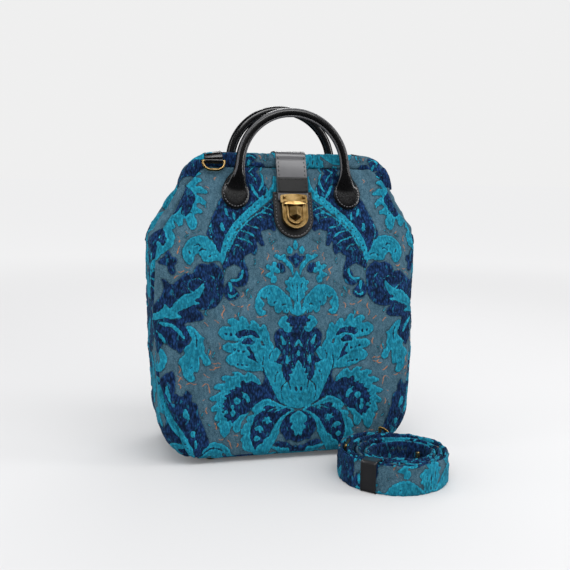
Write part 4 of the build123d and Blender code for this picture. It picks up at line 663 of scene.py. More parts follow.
def drawDamask():
    xs = np.arange(0, damaskGrid["halfWidth"], damaskGrid["step"])
    zs = np.arange(0, damaskGrid["height"], damaskGrid["step"])
    names = ("teal", "navy", "tealTop", "navyTop", "groundTop", "fleck")
    layers = {name: np.full((len(zs), len(xs)), -3.0) for name in names}

    def draw(name, loop):
        addLoop(layers[name], loop, xs, zs)
        if loop[:, 0].min() < 3:
            addLoop(layers[name], loop * (-1, 1), xs, zs)

    for name in names[:-1]:
        for points in damask[name]:
            draw(name, smoothLoop(points))
    for line, widths in damask["tealBand"]:
        draw("teal", strokeLoop(line, widths))
        draw("tealTop", strokeLoop(line, widths))
    for line, width in damask["tealLine"]:
        draw("tealTop", strokeLoop(line, [width * 0.5, width, width, width * 0.4]))
    for line, width in damask["navyLine"]:
        draw("navyTop", strokeLoop(line, [width * 0.6, width, width * 0.6]))
    for line in vineDots:
        path = smoothLoop(line, False, 8)
        along = lengthAlong(path)
        for s in np.arange(3, along[-1], 5.2):
            x, z = np.interp(s, along, path[:, 0]), np.interp(s, along, path[:, 1])
            a = np.linspace(0, 2 * np.pi, 7)[:-1]
            draw("navyTop", np.stack([x + 0.8 * np.cos(a), z + 0.8 * np.sin(a)], 1))
    for line in fleckLines:
        draw("fleck", strokeLoop(line, [0.5, 1.1, 0.9, 1.2, 0.5]))
    for line in sketchLines:
        draw("tealTop", strokeLoop(line, [0.4, 0.9, 0.9, 0.4]))
    navy = np.maximum(np.minimum(layers["navy"], -layers["tealTop"]), layers["navyTop"])
    teal = np.maximum(np.minimum(layers["teal"], -layers["navy"]), layers["tealTop"])
    teal = np.minimum(teal, -layers["navyTop"])
    navy = np.minimum(navy, -layers["groundTop"])
    teal = np.minimum(teal, -layers["groundTop"])
    # the cut pile frays: its edge wanders by a thread or two
    across, up = np.meshgrid(xs, zs)
    for layer, seed in ((teal, 81), (navy, 84)):
        layer += 0.4 * softNoise(across * 1.3, up, 3.4, seed) + 0.4 * softNoise(across * 1.6, up, 2.0, seed + 1)
    teal = np.where(layers["navyTop"] > -0.2, np.minimum(teal, -layers["navyTop"]), teal)
    fleck = np.minimum(layers["fleck"], np.minimum(-teal, -navy))
    return {"teal": teal, "navy": navy, "fleck": fleck}


def sampleDamask(fields, x, z):
    # The pattern repeats in mirror image beyond what is drawn
    step, wide, tall = damaskGrid["step"], damaskGrid["mirrorX"], damaskGrid["mirrorZ"]
    x = np.abs((np.asarray(x) + wide) % (2 * wide) - wide)
    z = np.asarray(z) % (2 * tall)
    z = np.where(z > tall, 2 * tall - z, z)
    out = {}
    for name, field in fields.items():
        a = np.clip(x / step, 0, field.shape[1] - 1.001)
        b = np.clip(z / step, 0, field.shape[0] - 1.001)
        i, j = a.astype(int), b.astype(int)
        s, t = a - i, b - j
        low = field[j, i] * (1 - s) + field[j, i + 1] * s
        high = field[j + 1, i] * (1 - s) + field[j + 1, i + 1] * s
        out[name] = low * (1 - t) + high * t
    return out


def pileHeight(found):
    # mm that the cut pile stands over the ground weave
    teal, navy = (ramp(found[name], -0.5, 0.9) * cloth[name + "Pile"] for name in ("teal", "navy"))
    return np.maximum(teal, navy)


bag = {
    "baseHalfWidth": 139.3, "baseHalfDepth": 63.0, "mouthHalfDepth": 14.0,
    "floorGap": 4.0, "cornerRadius": 46.0, "edgeRadius": 12.0, "shoulder": 225.0, "height": 320.0,
    "leftRadius": 16.0, "rightRadius": 40.0, "sideFold": 16.0, "lean": 3.5,
    "panelLow": 8.0, "panelHigh": 305.0, "gussetHigh": 286.0,
}
cloth = {"thickness": 2.4, "tealPile": 1.25, "navyPile": 1.05, "innerStep": 4}
seamInset = ((8, 12, 20, 39, 55, 71, 86, 122, 171, 211, 242, 259, 285, 299, 306),
             (4, 6, 12, 16.7, 10, 3.7, 1.2, 0.6, 0.8, 4.4, 9.6, 12, 7.5, 16, 22))


def formAt(z):
    # Half width, half depth, side fold and middle of the closed bag at a height
    z = np.asarray(z, float)

    def quarterRound(share):
        return 1 - np.sqrt(np.maximum(0, 1 - (1 - np.clip(share, 0, 1)) ** 2))

    low = z - bag["floorGap"]
    climb = np.clip((low - bag["cornerRadius"]) / 175, 0, 1)
    top = np.clip((z - bag["shoulder"]) / 79, 0, 1)
    width = bag["baseHalfWidth"] - bag["cornerRadius"] * quarterRound(low / bag["cornerRadius"])
    width = np.where(climb > 0, bag["baseHalfWidth"] + 8 * np.sin(climb * np.pi / 2), width)
    width = np.where(top > 0, 114 + 34.5 * (1 + np.cos(np.pi * top)) / 2, width)
    depth = bag["baseHalfDepth"] - bag["edgeRadius"] * quarterRound(low / bag["edgeRadius"])
    depth = np.where(climb > 0, bag["baseHalfDepth"] - 23.03 * climb ** 1.6, depth)
    depth = np.where(top > 0, bag["mouthHalfDepth"] + 25.97 * (1 - top) ** 1.1, depth)
    depth = depth - 1.9 * np.clip((z - 304) / 4, 0, 1)
    folded = np.interp(top, (0.17, 0.24, 0.3, 0.45, 0.6, 0.7215), (0, 0.62, 0.85, 1, 0.75, 0.1))
    fold = bag["sideFold"] * folded
    fold = fold * (top > 0.17)
    middle = -bag["lean"] * np.clip((304 - z) / 79, 0, 1)
    return width, depth, fold, middle


def cornerOf(z, right):
    width, depth, _, middle = formAt(z)
    radius = np.where(right, np.minimum(bag["rightRadius"], 0.8 * depth),
                      np.minimum(bag["leftRadius"], 0.55 * depth))
    flatEnd = np.where(right, width + middle, width - middle) - radius
    return radius, flatEnd


def seamAt(z, right):
    # Unrolled distance of the seam from the middle line
    depth = formAt(z)[1]
    radius, flatEnd = cornerOf(z, right)
    inset = np.interp(z, *seamInset)
    back = np.minimum(13, 0.5 * depth)
    turned = radius * (1 - np.sqrt(np.maximum(0, 1 - (1 - np.minimum(back / radius, 1)) ** 2)))
    inset = np.where(right, np.maximum(inset, turned), inset)
    onArc = radius * np.arcsin(np.clip(1 - inset / radius, 0, 1))
    return np.where(inset < radius, flatEnd + onArc, flatEnd + radius - inset)


def sideMiddleAt(z, right):
    depth = formAt(z)[1]
    radius, flatEnd = cornerOf(z, right)
    return flatEnd + radius * np.pi / 2 + depth - radius


def skinAt(z, u):
    # Front half of the bag's outer face: u runs round from the middle line, right positive
    _, depth, fold, _ = formAt(z)
    right = u > 0
    radius, flatEnd = cornerOf(z, right)
    reach = np.abs(u)
    turn = np.clip((reach - flatEnd) / radius, 0, np.pi / 2)
    over = np.maximum(reach - flatEnd - radius * np.pi / 2, 0)
    x = np.minimum(reach, flatEnd) + radius * np.sin(turn)
    y = -depth + radius * (1 - np.cos(turn)) + over
    deep = np.maximum(depth - radius, 1)
    x = x - fold * (1 - ramp(-y / deep, 0.0, 1.0)) * (over > 0)
    return np.where(right, x, -x), y


def onFace(x, z, lift, side):
    # Point over the flat part of the front or back face, lifted along the face's slope
    depth = formAt(z)[1]
    slope = (formAt(z - 1.5)[1] - formAt(z + 1.5)[1]) / 3
    run = np.sqrt(1 + slope ** 2)
    return np.stack([x + 0 * z, side * (depth + lift / run), z + lift * slope / run], -1)


pressedBy = {
    "tabs": (61.0, 278.0, 14.5, 17.0),       # middle and half sizes of the handle tabs
    "patch": (21.25, 231.0, 279.0),          # half width, low and high of the lock patch
    "strapFront": (16.5, 269.5), "strapBack": (16.5, 286.0),
    "lowTabs": (96.0, 66.0, 9.5, 8.0),
}


def clearOf(x, z, side):
    # mm to the nearest leather piece on this face, negative under it
    tx, tz, ta, tb = pressedBy["tabs"]
    ellipse = (np.sqrt(((np.abs(x) - tx) / ta) ** 2 + ((z - tz) / tb) ** 2) - 1) * ta
    clear = ellipse
    if side < 0:
        half, low, high = pressedBy["patch"]
        clear = np.minimum(clear, np.maximum(np.abs(x) - half, z - high))
        roundEnd = np.hypot(x, np.minimum(z - low - half, 0)) - half
        clear = np.where(z < low + half, np.minimum(ellipse, roundEnd), clear)
        half, low = pressedBy["strapFront"]
    else:
        lx, lz, la, lb = pressedBy["lowTabs"]
        clear = np.minimum(clear, np.maximum(np.abs(np.abs(x) - lx) - la, np.abs(z - lz) - lb))
        half, low = pressedBy["strapBack"]
    return np.minimum(clear, np.maximum(np.abs(x) - half, low - z))


def setFields(mesh, found):
    for key in found:
        setField(mesh, key, found[key])


def finishSheet(name, grid, normal, found, material, replaces):
    # Closes the cloth with a plain inner side and adds it
    step = cloth["innerStep"]
    inner = grid[::step, ::step] - normal[::step, ::step] * cloth["thickness"]
    mesh = meshFrom(name, *closedSheet(grid, inner, step))
    setFields(mesh, found)
    addPiece(name, mesh, material, replaces=replaces)
    print(name, "made with", len(mesh.polygons), "faces")


def makePanel(name, side, fields, material, replaces, seed):
    zs = np.linspace(bag["panelLow"], bag["panelHigh"], 297)[:, None]
    share = np.linspace(0, 1, 301)[None, :]
    left, right = -seamAt(zs, False), seamAt(zs, True)
    u = left + (right - left) * share
    x, y = skinAt(zs + 0 * u, u)
    z = zs + 0 * u
    grid = np.stack([x, -side * y, z], -1)
    normal = gridNormals(grid) * (-side)
    edge = np.minimum(u - left, right - u)
    clear = clearOf(x, z, side)
    free = ramp(clear, -0.5, 3.0)
    found = sampleDamask(fields, u, z)
    lift = pileHeight(found) * free
    lift += (0.9 * softNoise(u, z, 52, seed) + 0.35 * softNoise(u, z, 16, seed + 1)) * ramp(clear, 0, 14)
    lift += (0.22 * softNoise(u, z, 2.6, seed + 2)) * ramp(lift, 0.3, 0.9)
    lift += 0.10 * softNoise(u, z, 1.4, seed + 3)
    # the seam pulls the cloth in and puckers it
    lift += 0.8 * np.exp(-((edge - 7) / 4.5) ** 2) - 2.3 * np.exp(-(edge / 2.3) ** 2)
    lift += 0.9 * softNoise(0 * u, z, 11, seed + 4) * np.exp(-(edge / 9) ** 2)
    gathers = ramp(z, 280, 300) * ramp(clear, 2, 10)
    lift += 1.3 * gathers * softNoise(u, 0.25 * z, 7, seed + 5)
    lift -= 1.6 * np.exp(-((z - 304.5) / 2.0) ** 2)
    lift -= 0.5 * np.exp(-((clear - 0.6) / 1.2) ** 2)
    grid += normal * lift[..., None]
    for key in ("teal", "navy"):
        found[key] = np.where(free > 0.02, found[key], -3.0)
    finishSheet(name, grid, normal, found, material, replaces)


def makeGusset(name, right, fields, material, seed):
    zs = np.linspace(bag["panelLow"], bag["gussetHigh"], 253)[:, None]
    share = np.linspace(0, 1, 113)[None, :]
    seam, middle = seamAt(zs, right), sideMiddleAt(zs, right)
    half = middle - seam
    t = 2 * share - 1                        # -1 at the front seam, 1 at the back seam
    u = middle - half * np.abs(t)
    sign = 1 if right else -1
    x, y = skinAt(zs + 0 * u, sign * u)
    z = zs + 0 * u
    grid = np.stack([x, np.where(t > 0, -y, y), z], -1)
    normal = gridNormals(grid) * sign
    across = t * half
    edge = half - np.abs(across)
    found = sampleDamask(fields, across + 96, z + 41)
    lift = pileHeight(found)
    lift += 0.8 * softNoise(across, z, 44, seed) + 0.45 * softNoise(across, z, 14, seed + 1)
    lift += (0.22 * softNoise(across, z, 2.6, seed + 2) * ramp(lift, 0.3, 0.9)
             + 0.10 * softNoise(across, z, 1.4, seed + 3))
    lift += 0.7 * np.exp(-((edge - 6) / 4) ** 2) - 2.3 * np.exp(-(edge / 2.3) ** 2)
    lift += 0.9 * softNoise(0 * u, z, 11, seed + 4) * np.exp(-(edge / 9) ** 2)
    lift -= 1.9 * ramp(z, 20, 90) * (1 - ramp(z, 285, 300))
    crease = ramp(z, 232, 246) * (1 - ramp(z, 276, 286))
    lift += crease * (1.8 * softNoise(across, z, 9, seed + 5)
                      + 1.2 * softNoise(across + z, across - z, 16, seed + 6))
    lift *= ramp(edge, -1, 2.5) * 0.35 + 0.65
    grid += normal * lift[..., None]
    finishSheet(name, grid, normal, found, material, ("gusset", "lining"))


def makeBase(fields, material):
    # Cloth under the bag, from the lower seam round to the flat base
    cols = 320
    low = bag["panelLow"]
    rings = []
    for z in np.linspace(low, bag["floorGap"], 7):
        ends = [sideMiddleAt(z, False), sideMiddleAt(z, True)]
        u = np.linspace(-ends[0], ends[1], cols // 2, endpoint=False)
        x, y = skinAt(z + 0 * u, u)
        x2, y2 = skinAt(z + 0 * u, -np.linspace(-ends[1], ends[0], cols // 2, endpoint=False))
        rings.append(np.stack([np.concatenate([x, x2]), np.concatenate([y, -y2]), np.full(cols, z)], -1))
    flat = rings[-1]
    for f in np.linspace(1, 0.03, 26)[1:]:
        x = -bag["lean"] + (flat[:, 0] + bag["lean"]) * f
        rings.append(np.stack([x, flat[:, 1] * f, flat[:, 2] + 0.4 * (1 - f)], -1))
    outer = np.array(rings)
    outer = np.concatenate([outer, outer[:, :1]], 1)
    across, along = np.gradient(outer, axis=1), np.gradient(outer, axis=0)
    across[:, 0] = across[:, -1] = (outer[:, 1] - outer[:, -2]) / 2
    normal = np.cross(along, across)
    normal /= np.maximum(np.linalg.norm(normal, axis=2, keepdims=True), 1e-9)
    found = sampleDamask(fields, outer[..., 0], outer[..., 1] + 120)
    down = np.where(normal[..., 2:3].mean() > 0, -1, 1) * normal
    fromSeam = np.arange(len(outer))[:, None]
    lift = 0.5 * pileHeight(found) * ramp(fromSeam, 0, 4)
    lift -= 2.0 * np.exp(-(fromSeam / 1.2) ** 2)
    moved = outer + down * lift[..., None]
    inner = moved - down * cloth["thickness"]
    points = np.concatenate([moved[:, :-1].reshape(-1, 3), inner[:, :-1].reshape(-1, 3)])
    faces = []
    for base in (0, len(rings) * cols):
        for i in range(len(rings) - 1):
            for j in range(cols):
                k = (j + 1) % cols
                a, b = base + i * cols, base + (i + 1) * cols
                faces.append((a + j, a + k, b + k, b + j))
        last = base + (len(rings) - 1) * cols
        faces.append(tuple(range(last, last + cols)))
    for j in range(cols):
        k = (j + 1) % cols
        faces.append((j, k, len(rings) * cols + k, len(rings) * cols + j))
    mesh = meshFrom("base_cloth", points, faces)
    setFields(mesh, {key: found[key][:, :-1] for key in found})
    addPiece("base_cloth", mesh, material, replaces=("gusset",))


def sweepSection(path, sideways, outward, sections, closed=False):
    # sections: (n, m, 2) offsets along sideways and outward at each point of the path
    path = np.asarray(path, float)
    n, m = len(path), sections.shape[1]
    points = (path[:, None, :] + sideways[:, None, :] * sections[..., :1]
              + outward[:, None, :] * sections[..., 1:])
    faces = []
    for i in range(n if closed else n - 1):
        a, b = i * m, ((i + 1) % n) * m
        faces += [(a + j, a + (j + 1) % m, b + (j + 1) % m, b + j) for j in range(m)]
    if not closed:
        faces.append(tuple(range(m)))
        faces.append(tuple(range((n - 1) * m, n * m))[::-1])
    return points.reshape(-1, 3), faces


def resample(path, step):
    path = np.asarray(path, float)
    along = lengthAlong(path)
    count = max(3, int(round(along[-1] / step)) + 1)
    at = np.linspace(0, along[-1], count)
    return np.stack([np.interp(at, along, path[:, k]) for k in range(path.shape[1])], 1), at


def roundedSection(halfWide, halfThick, power, count):
    a = np.linspace(0, 2 * np.pi, count, endpoint=False)
    c, s = np.cos(a), np.sin(a)
    return np.stack([halfWide * np.sign(c) * np.abs(c) ** (2 / power),
                     halfThick * np.sign(s) * np.abs(s) ** (2 / power)], -1)


def stripSection(halfWide, thick, edge, count=4):
    # Flat leather strip with rounded arrises, its back at 0
    out = []
    corners = ((halfWide, 0, 0), (halfWide, thick, 90), (-halfWide, thick, 180), (-halfWide, 0, 270))
    for x, y, start in corners:
        r = min(edge, thick * 0.49)
        cx = x - math.copysign(r, x)
        cy = y - r if y > 0 else y + r
        for k in range(count + 1):
            a = math.radians(start - 90 + 90 * k / count)
            out.append((cx + r * math.cos(a), cy + r * math.sin(a)))
    return np.array(out)


def endEase(at, reach):
    # Shrinks a swept section over its last mm so that its ends are round
    near = np.minimum(at, at[-1] - at)
    return np.sqrt(np.clip(1 - (1 - np.clip(near / reach, 0, 1)) ** 2, 0.02, 1))


# The mouth's cloth sleeves: centre line of each one, and its section
sleeve = {
    "halfSpan": 110.0, "top": 312.0, "bottom": 285.5, "corner": 30.0, "off": 6.1,
    "halfHeight": 8.0, "halfDepth": 6.0, "patternAt": (25, 166),
}


def makeSleeve(name, side, fields, material, seed, replaces):
    radius, x, top = sleeve["corner"], sleeve["halfSpan"], sleeve["top"]
    a = np.linspace(0, np.pi / 2, 24)
    corner = np.stack([-x + radius - radius * np.cos(a), top - radius + radius * np.sin(a)], 1)
    half = np.concatenate([[[-x, sleeve["bottom"]]], corner])
    path = np.concatenate([half, (half * (-1, 1))[::-1]])
    path, at = resample(path, 0.9)
    heading = unitHeading(path)
    outward = np.stack([-heading[:, 1], 0 * at, heading[:, 0]], 1)
    across = np.tile([0.0, side, 0.0], (len(at), 1))
    centre = np.stack([path[:, 0], 0 * at + side * sleeve["off"], path[:, 1]], 1)
    section = roundedSection(sleeve["halfHeight"], sleeve["halfDepth"], 3.0, 44)
    sections = np.repeat(section[None], len(at), 0) * endEase(at, 5)[:, None, None]
    u = (at - at[-1] / 2)[:, None] + 0 * section[None, :, 0]
    v = 8 * np.arctan2(sections[..., 1], sections[..., 0] + 1e-6)
    patternX, patternZ = sleeve["patternAt"]
    found = sampleDamask(fields, u + patternX * side, patternZ + v * 1.1)
    lift = 0.5 * pileHeight(found) + 0.35 * softNoise(u, v, 9, seed) + 0.25 * softNoise(u, v * 0.2, 5, seed + 1)
    lift += 0.12 * softNoise(u, v, 2.2, seed + 2) - 0.3
    scale = 1 + lift / 7.0
    inside = ramp(-sections[..., 1], 4.6, 6.0)      # flat where the two sleeves meet
    sections = sections * (1 + (scale - 1) * (1 - inside))[..., None]
    mesh = meshFrom(name, *sweepSection(centre, outward, across, sections))
    setFields(mesh, found)
    addPiece(name, mesh, material, replaces=replaces)
    print(name, "made")


handle = {
    "rodRadius": 5.0, "archRadius": 57.0, "tabX": 61.0, "tabZ": 278.0, "tabHalfWidth": 15.5, "tabHalfHeight": 17.6,
    "tabThickness": 3.4, "neck": 23.0, "flattenPast": 21, "voxel": 0.55, "softening": 50,
    "welt": 0.85, "weltTurns": (-58.0, 38.0), "weltFrom": 21, "weltTaper": 12,
    "front": {"reach": 19.0, "top": 362.5}, "back": {"reach": 32.0, "top": 368.5},
}
stitch = {"length": 2.7, "pitch": 4.0, "radius": 0.42}
leatherCut = {
    "closureWidth": 33.0, "thickness": 2.4, "frontLow": 269.5, "backLow": 286.0,
    "patchWidth": 42.5, "patchLow": 231.0, "patchHigh": 279.0,
    "endLow": 278.0, "endHeight": 15.5,
    "ringTabWidth": 19.0, "ringTabThickness": 1.5, "ringWire": 1.5,
    "mouthRings": ((-83.0, -1, "ring_tab_front_left"), (83.0, 1, "ring_tab_back_right")),
    "mouthTabTop": ((15.3, 314.8), (14.6, 317.0), (12.8, 319.6), (10.0, 321.3), (5.0, 321.9), (0.3, 322.0)),
    "lowRings": ((-96.0, 66.0, "ring_tab_low_left"), (96.0, 66.0, "ring_tab_low_right")),
}


def stitchRow(bm, path, outward, pitch, length, radius, lift=0.0):
    # Short threads laid along a path, each one sunk at both ends
    path, normals = np.asarray(path, float), np.asarray(outward, float)
    along = lengthAlong(path)
    count = max(1, int(along[-1] / pitch))
    for k in range(count):
        middle = (k + 0.5) * along[-1] / count
        spots = middle + np.linspace(-0.5, 0.5, 5) * length
        centre = np.stack([np.interp(spots, along, path[:, c]) for c in range(3)], 1)
        up = np.stack([np.interp(spots, along, normals[:, c]) for c in range(3)], 1)
        ahead = centre[-1] - centre[0]
        ahead /= np.linalg.norm(ahead)
        side = np.cross(ahead, up)
        sink = np.array([-0.45, 0.12, 0.28, 0.12, -0.45]) * radius * 2 + lift
        size = np.array([0.6, 1, 1.05, 1, 0.6]) * radius
        rings = []
        for i in range(5):
            base = centre[i] + up[i] * sink[i]
            ring = []
            for a in (0.0, 1.05, 2.09, 3.14, 4.19, 5.24):
                spot = base + (side[i] * math.cos(a) + up[i] * math.sin(a)) * size[i] + bagMiddle
                ring.append(bm.verts.new(Vector(spot * mm)))
            rings.append(ring)
        for a, b in zip(rings, rings[1:]):
            for j in range(6):
                bm.faces.new((a[j], a[(j + 1) % 6], b[(j + 1) % 6], b[j]))
        bm.faces.new(rings[0][::-1])
        bm.faces.new(rings[-1])


def finishStitches(bm, name, thread):
    bmesh.ops.recalc_face_normals(bm, faces=bm.faces)
    mesh = bpy.data.meshes.new(name)
    bm.to_mesh(mesh)
    bm.free()
    addPiece(name, mesh, thread)


def handlePath(side):
    # Middle line of the rolled part and the direction that leans away from the bag
    shape = handle["front" if side < 0 else "back"]
    tabZ, radius = handle["tabZ"], handle["archRadius"]
    start = float(formAt(tabZ)[1]) + 0.2 + handle["rodRadius"] + 0.3
    rise = np.array([0, side * (shape["reach"] - start), shape["top"] - tabZ])
    climb = np.linalg.norm(rise)
    rise /= climb
    origin = np.array([0, side * start, tabZ])
    lean = np.cross(np.array([1.0, 0, 0]), rise)
    lean = lean if lean[1] * side > 0 else -lean
    begin = np.array([-handle["tabX"], -6.0])
    centre = np.array([0, climb - radius])
    toCentre = centre - begin
    turn = math.asin(radius / np.linalg.norm(toCentre))
    heading = math.atan2(toCentre[1], toCentre[0]) + turn
    run = math.sqrt(toCentre @ toCentre - radius ** 2)
    touch = begin + np.array([math.cos(heading), math.sin(heading)]) * run
    first = math.atan2(touch[1] - centre[1], touch[0] - centre[0])
    first = first if first > 0 else first + 2 * math.pi
    angles = np.linspace(first, math.pi - first, 90)
    arch = centre + radius * np.stack([np.cos(angles), np.sin(angles)], 1)
    flat = np.concatenate([[begin], arch, [begin * (-1, 1)]])
    flat, at = resample(flat, 1.2)
    return origin + flat[:, :1] * np.array([1.0, 0, 0]) + flat[:, 1:] * rise, at, lean


def tubeFaces(rows, cols):
    # Quads between rows of points that run round, and a cap at each end
    faces = []
    for i in range(rows - 1):
        for j in range(cols):
            k = (j + 1) % cols
            faces.append((i * cols + j, i * cols + k, (i + 1) * cols + k, (i + 1) * cols + j))
    faces.append(tuple(range(cols))[::-1])
    faces.append(tuple(range((rows - 1) * cols, rows * cols)))
    return faces


def joinParts(parts):
    points, faces, first = [], [], 0
    for p, f in parts:
        points.append(p)
        faces += [tuple(i + first for i in face) for face in f]
        first += len(p)
    return np.concatenate(points), faces


def domeOnFace(x, z, halfWidth, halfHeight, thickness, side, rings=26, cols=72):
    # Padded oval that follows the face of the bag: points and faces
    a = np.linspace(0, 2 * np.pi, cols, endpoint=False)
    rows = [(1.0, 0.0), (1.0, 0.35)]
    for r in np.linspace(1.0, 0.04, rings):
        rows.append((r, 0.35 + (thickness - 0.35) * (max(0.0, 1 - r ** 7)) ** 0.5))
    points = []
    for r, lift in rows:
        if lift > 0.36:
            lift += 0.5 * (1 - r ** 2) - 0.55 * math.exp(-((r - 0.83) / 0.035) ** 2)
        upper = np.maximum(np.sin(a), 0)
        points.append(onFace(x + halfWidth * r * np.cos(a) * (1 - 0.30 * upper ** 2),
                             z + halfHeight * r * np.sin(a) * (1 + 0.26 * upper), lift + 0.1, side))
    return np.array(points).reshape(-1, 3), tubeFaces(len(rows), cols)


def makeHandle(name, side, leather, weltHighlightLeather, thread, replaces):
    path, at, lean = handlePath(side)
    near = np.minimum(at, at[-1] - at)
    flatten = 1 - ramp(near, 2.0, handle["neck"] + handle["flattenPast"])
    heading = unitHeading(path)
    outward = np.tile(lean, (len(path), 1))
    sideways = np.cross(outward, heading)
    wide = handle["rodRadius"] + 5.6 * ramp(flatten, 0.1, 0.9)
    thick = handle["rodRadius"] - 3.0 * ramp(flatten, 0.3, 1.0)
    sink = -(handle["rodRadius"] + 0.5 - handle["tabThickness"] + 2.3) * flatten
    bulge = 0.35 * np.exp(-((near - handle["neck"] - 4) / 8) ** 2)
    section = roundedSection(1.0, 1.0, 2.0, 40)
    sections = section[None] * np.stack([wide + bulge, thick + bulge], 1)[:, None, :]
    sections = sections * (0.25 + 0.75 * np.sqrt(ramp(near, -0.5, 7)))[:, None, None]
    parts = [sweepSection(path + outward * sink[:, None], sideways, outward, sections)]
    for x in (-handle["tabX"], handle["tabX"]):
        parts.append(domeOnFace(x, handle["tabZ"], handle["tabHalfWidth"], handle["tabHalfHeight"],
                                handle["tabThickness"], side))
    shell = bpy.data.objects.new(name + "_rough", meshFrom(name + "_rough", *joinParts(parts)))
    bpy.context.scene.collection.objects.link(shell)
    remesh = shell.modifiers.new("join", "REMESH")
    remesh.mode = "VOXEL"
    remesh.voxel_size = handle["voxel"] * mm
    smooth = shell.modifiers.new("soften", "SMOOTH")
    smooth.factor, smooth.iterations = 0.5, handle["softening"]
    mesh = bpy.data.meshes.new_from_object(shell.evaluated_get(bpy.context.evaluated_depsgraph_get()))
    bpy.data.objects.remove(shell)
    addPiece(name, mesh, leather, replaces=replaces)
    # folded edges of the rolled leather: two fine welts that run down and part round the tabs
    welts = []
    shown = near > handle["weltFrom"]
    for turn in handle["weltTurns"]:
        spread = math.radians(turn)
        offset = (sideways * (math.sin(spread) * (wide + bulge - 0.1))[:, None]
                  + outward * (math.cos(spread) * (thick + bulge - 0.1) + sink)[:, None])
        track, toOut = (path + offset)[shown], (offset / np.linalg.norm(offset, axis=1)[:, None])[shown]
        toSide = np.cross(toOut, heading[shown])
        bead = roundedSection(handle["welt"] * 1.3, handle["welt"], 2.0, 8)
        beads = bead[None] * endEase(np.arange(len(track)) * 1.2, handle["weltTaper"])[:, None, None]
        welts.append(sweepSection(track, toSide, toOut, beads))
    # the welts' grey colour is a painted highlight for the bright lines along the rolled edges
    addPiece(name + "_welts", meshFrom(name + "_welts", *joinParts(welts)), weltHighlightLeather)
    bm = bmesh.new()
    for x in (-handle["tabX"], handle["tabX"]):
        a = np.linspace(0.80 * math.pi, 2.20 * math.pi, 90)
        lift = handle["tabThickness"] + 0.25
        along = (x + handle["tabHalfWidth"] * 0.83 * np.cos(a),
                 handle["tabZ"] + handle["tabHalfHeight"] * 0.83 * np.sin(a))
        ring, above = onFace(*along, lift, side), onFace(*along, lift + 1, side)
        stitchRow(bm, ring, above - ring, 3.1, 2.1, 0.46, -0.15)
    finishStitches(bm, name + "_stitches", thread)
    print(name, "made with", len(mesh.polygons), "faces")


def profilePath(frontLow, backLow, offset):
    # Line up the front, over the closed mouth and down the back, and its outward normals, in the Y-Z plane
    line = []
    if frontLow < 304:
        line += [(-float(formAt(z)[1]), z) for z in np.arange(frontLow, 302, 2.0)]
    line += [(-12.3, max(308.0, frontLow)), (-12.1, 313.0)]
    line += [(-8.1 - 4 * math.cos(a), 316 + 4 * math.sin(a)) for a in np.linspace(0, math.pi / 2, 7)]
    line += [(8.1 + 4 * math.sin(a), 316 + 4 * math.cos(a)) for a in np.linspace(0, math.pi / 2, 7)]
    line += [(12.1, 313.0), (12.3, max(308.0, backLow))]
    if backLow < 304:
        line += [(float(formAt(z)[1]), z) for z in np.arange(302, backLow, -2.0)]
        line.append((float(formAt(backLow)[1]), backLow))
    line = resample(line, 0.8)[0]
    relax(line, 12)
    heading = unitHeading(line)
    outward = np.stack([-heading[:, 1], heading[:, 0]], 1)
    return line + outward * offset, outward


def cornerDrop(x, z):
    # mm that the mouth's round corner lies below its top
    past = np.clip(np.abs(x) - 80, 0, 29)
    return (30 - np.sqrt(900 - past ** 2) + 0.6) * ramp(z, 311, 318)


def stripPiece(name, line, outward, x, halfWide, thick, edge, leather, replaces, ease=1.2):
    # Leather strap along a line in the Y-Z plane, its back on the line
    n = len(line)
    centre = np.stack([np.full(n, x), line[:, 0], line[:, 1]], 1)
    up = np.stack([np.zeros(n), outward[:, 0], outward[:, 1]], 1)
    sideways = np.tile([1.0, 0, 0], (n, 1))
    section = stripSection(halfWide, thick, edge)
    at = lengthAlong(line)
    sections = np.repeat(section[None], n, 0)
    squeeze = endEase(at, ease)
    sections[..., 1] = thick / 2 + (sections[..., 1] - thick / 2) * squeeze[:, None]
    points, faces = sweepSection(centre, sideways, up, sections)
    if abs(x) > 70 and line[:, 1].max() > 300:
        points[:, 2] -= cornerDrop(points[:, 0], points[:, 2])
    addPiece(name, meshFrom(name, points, faces), leather, replaces=replaces)
    return centre, up


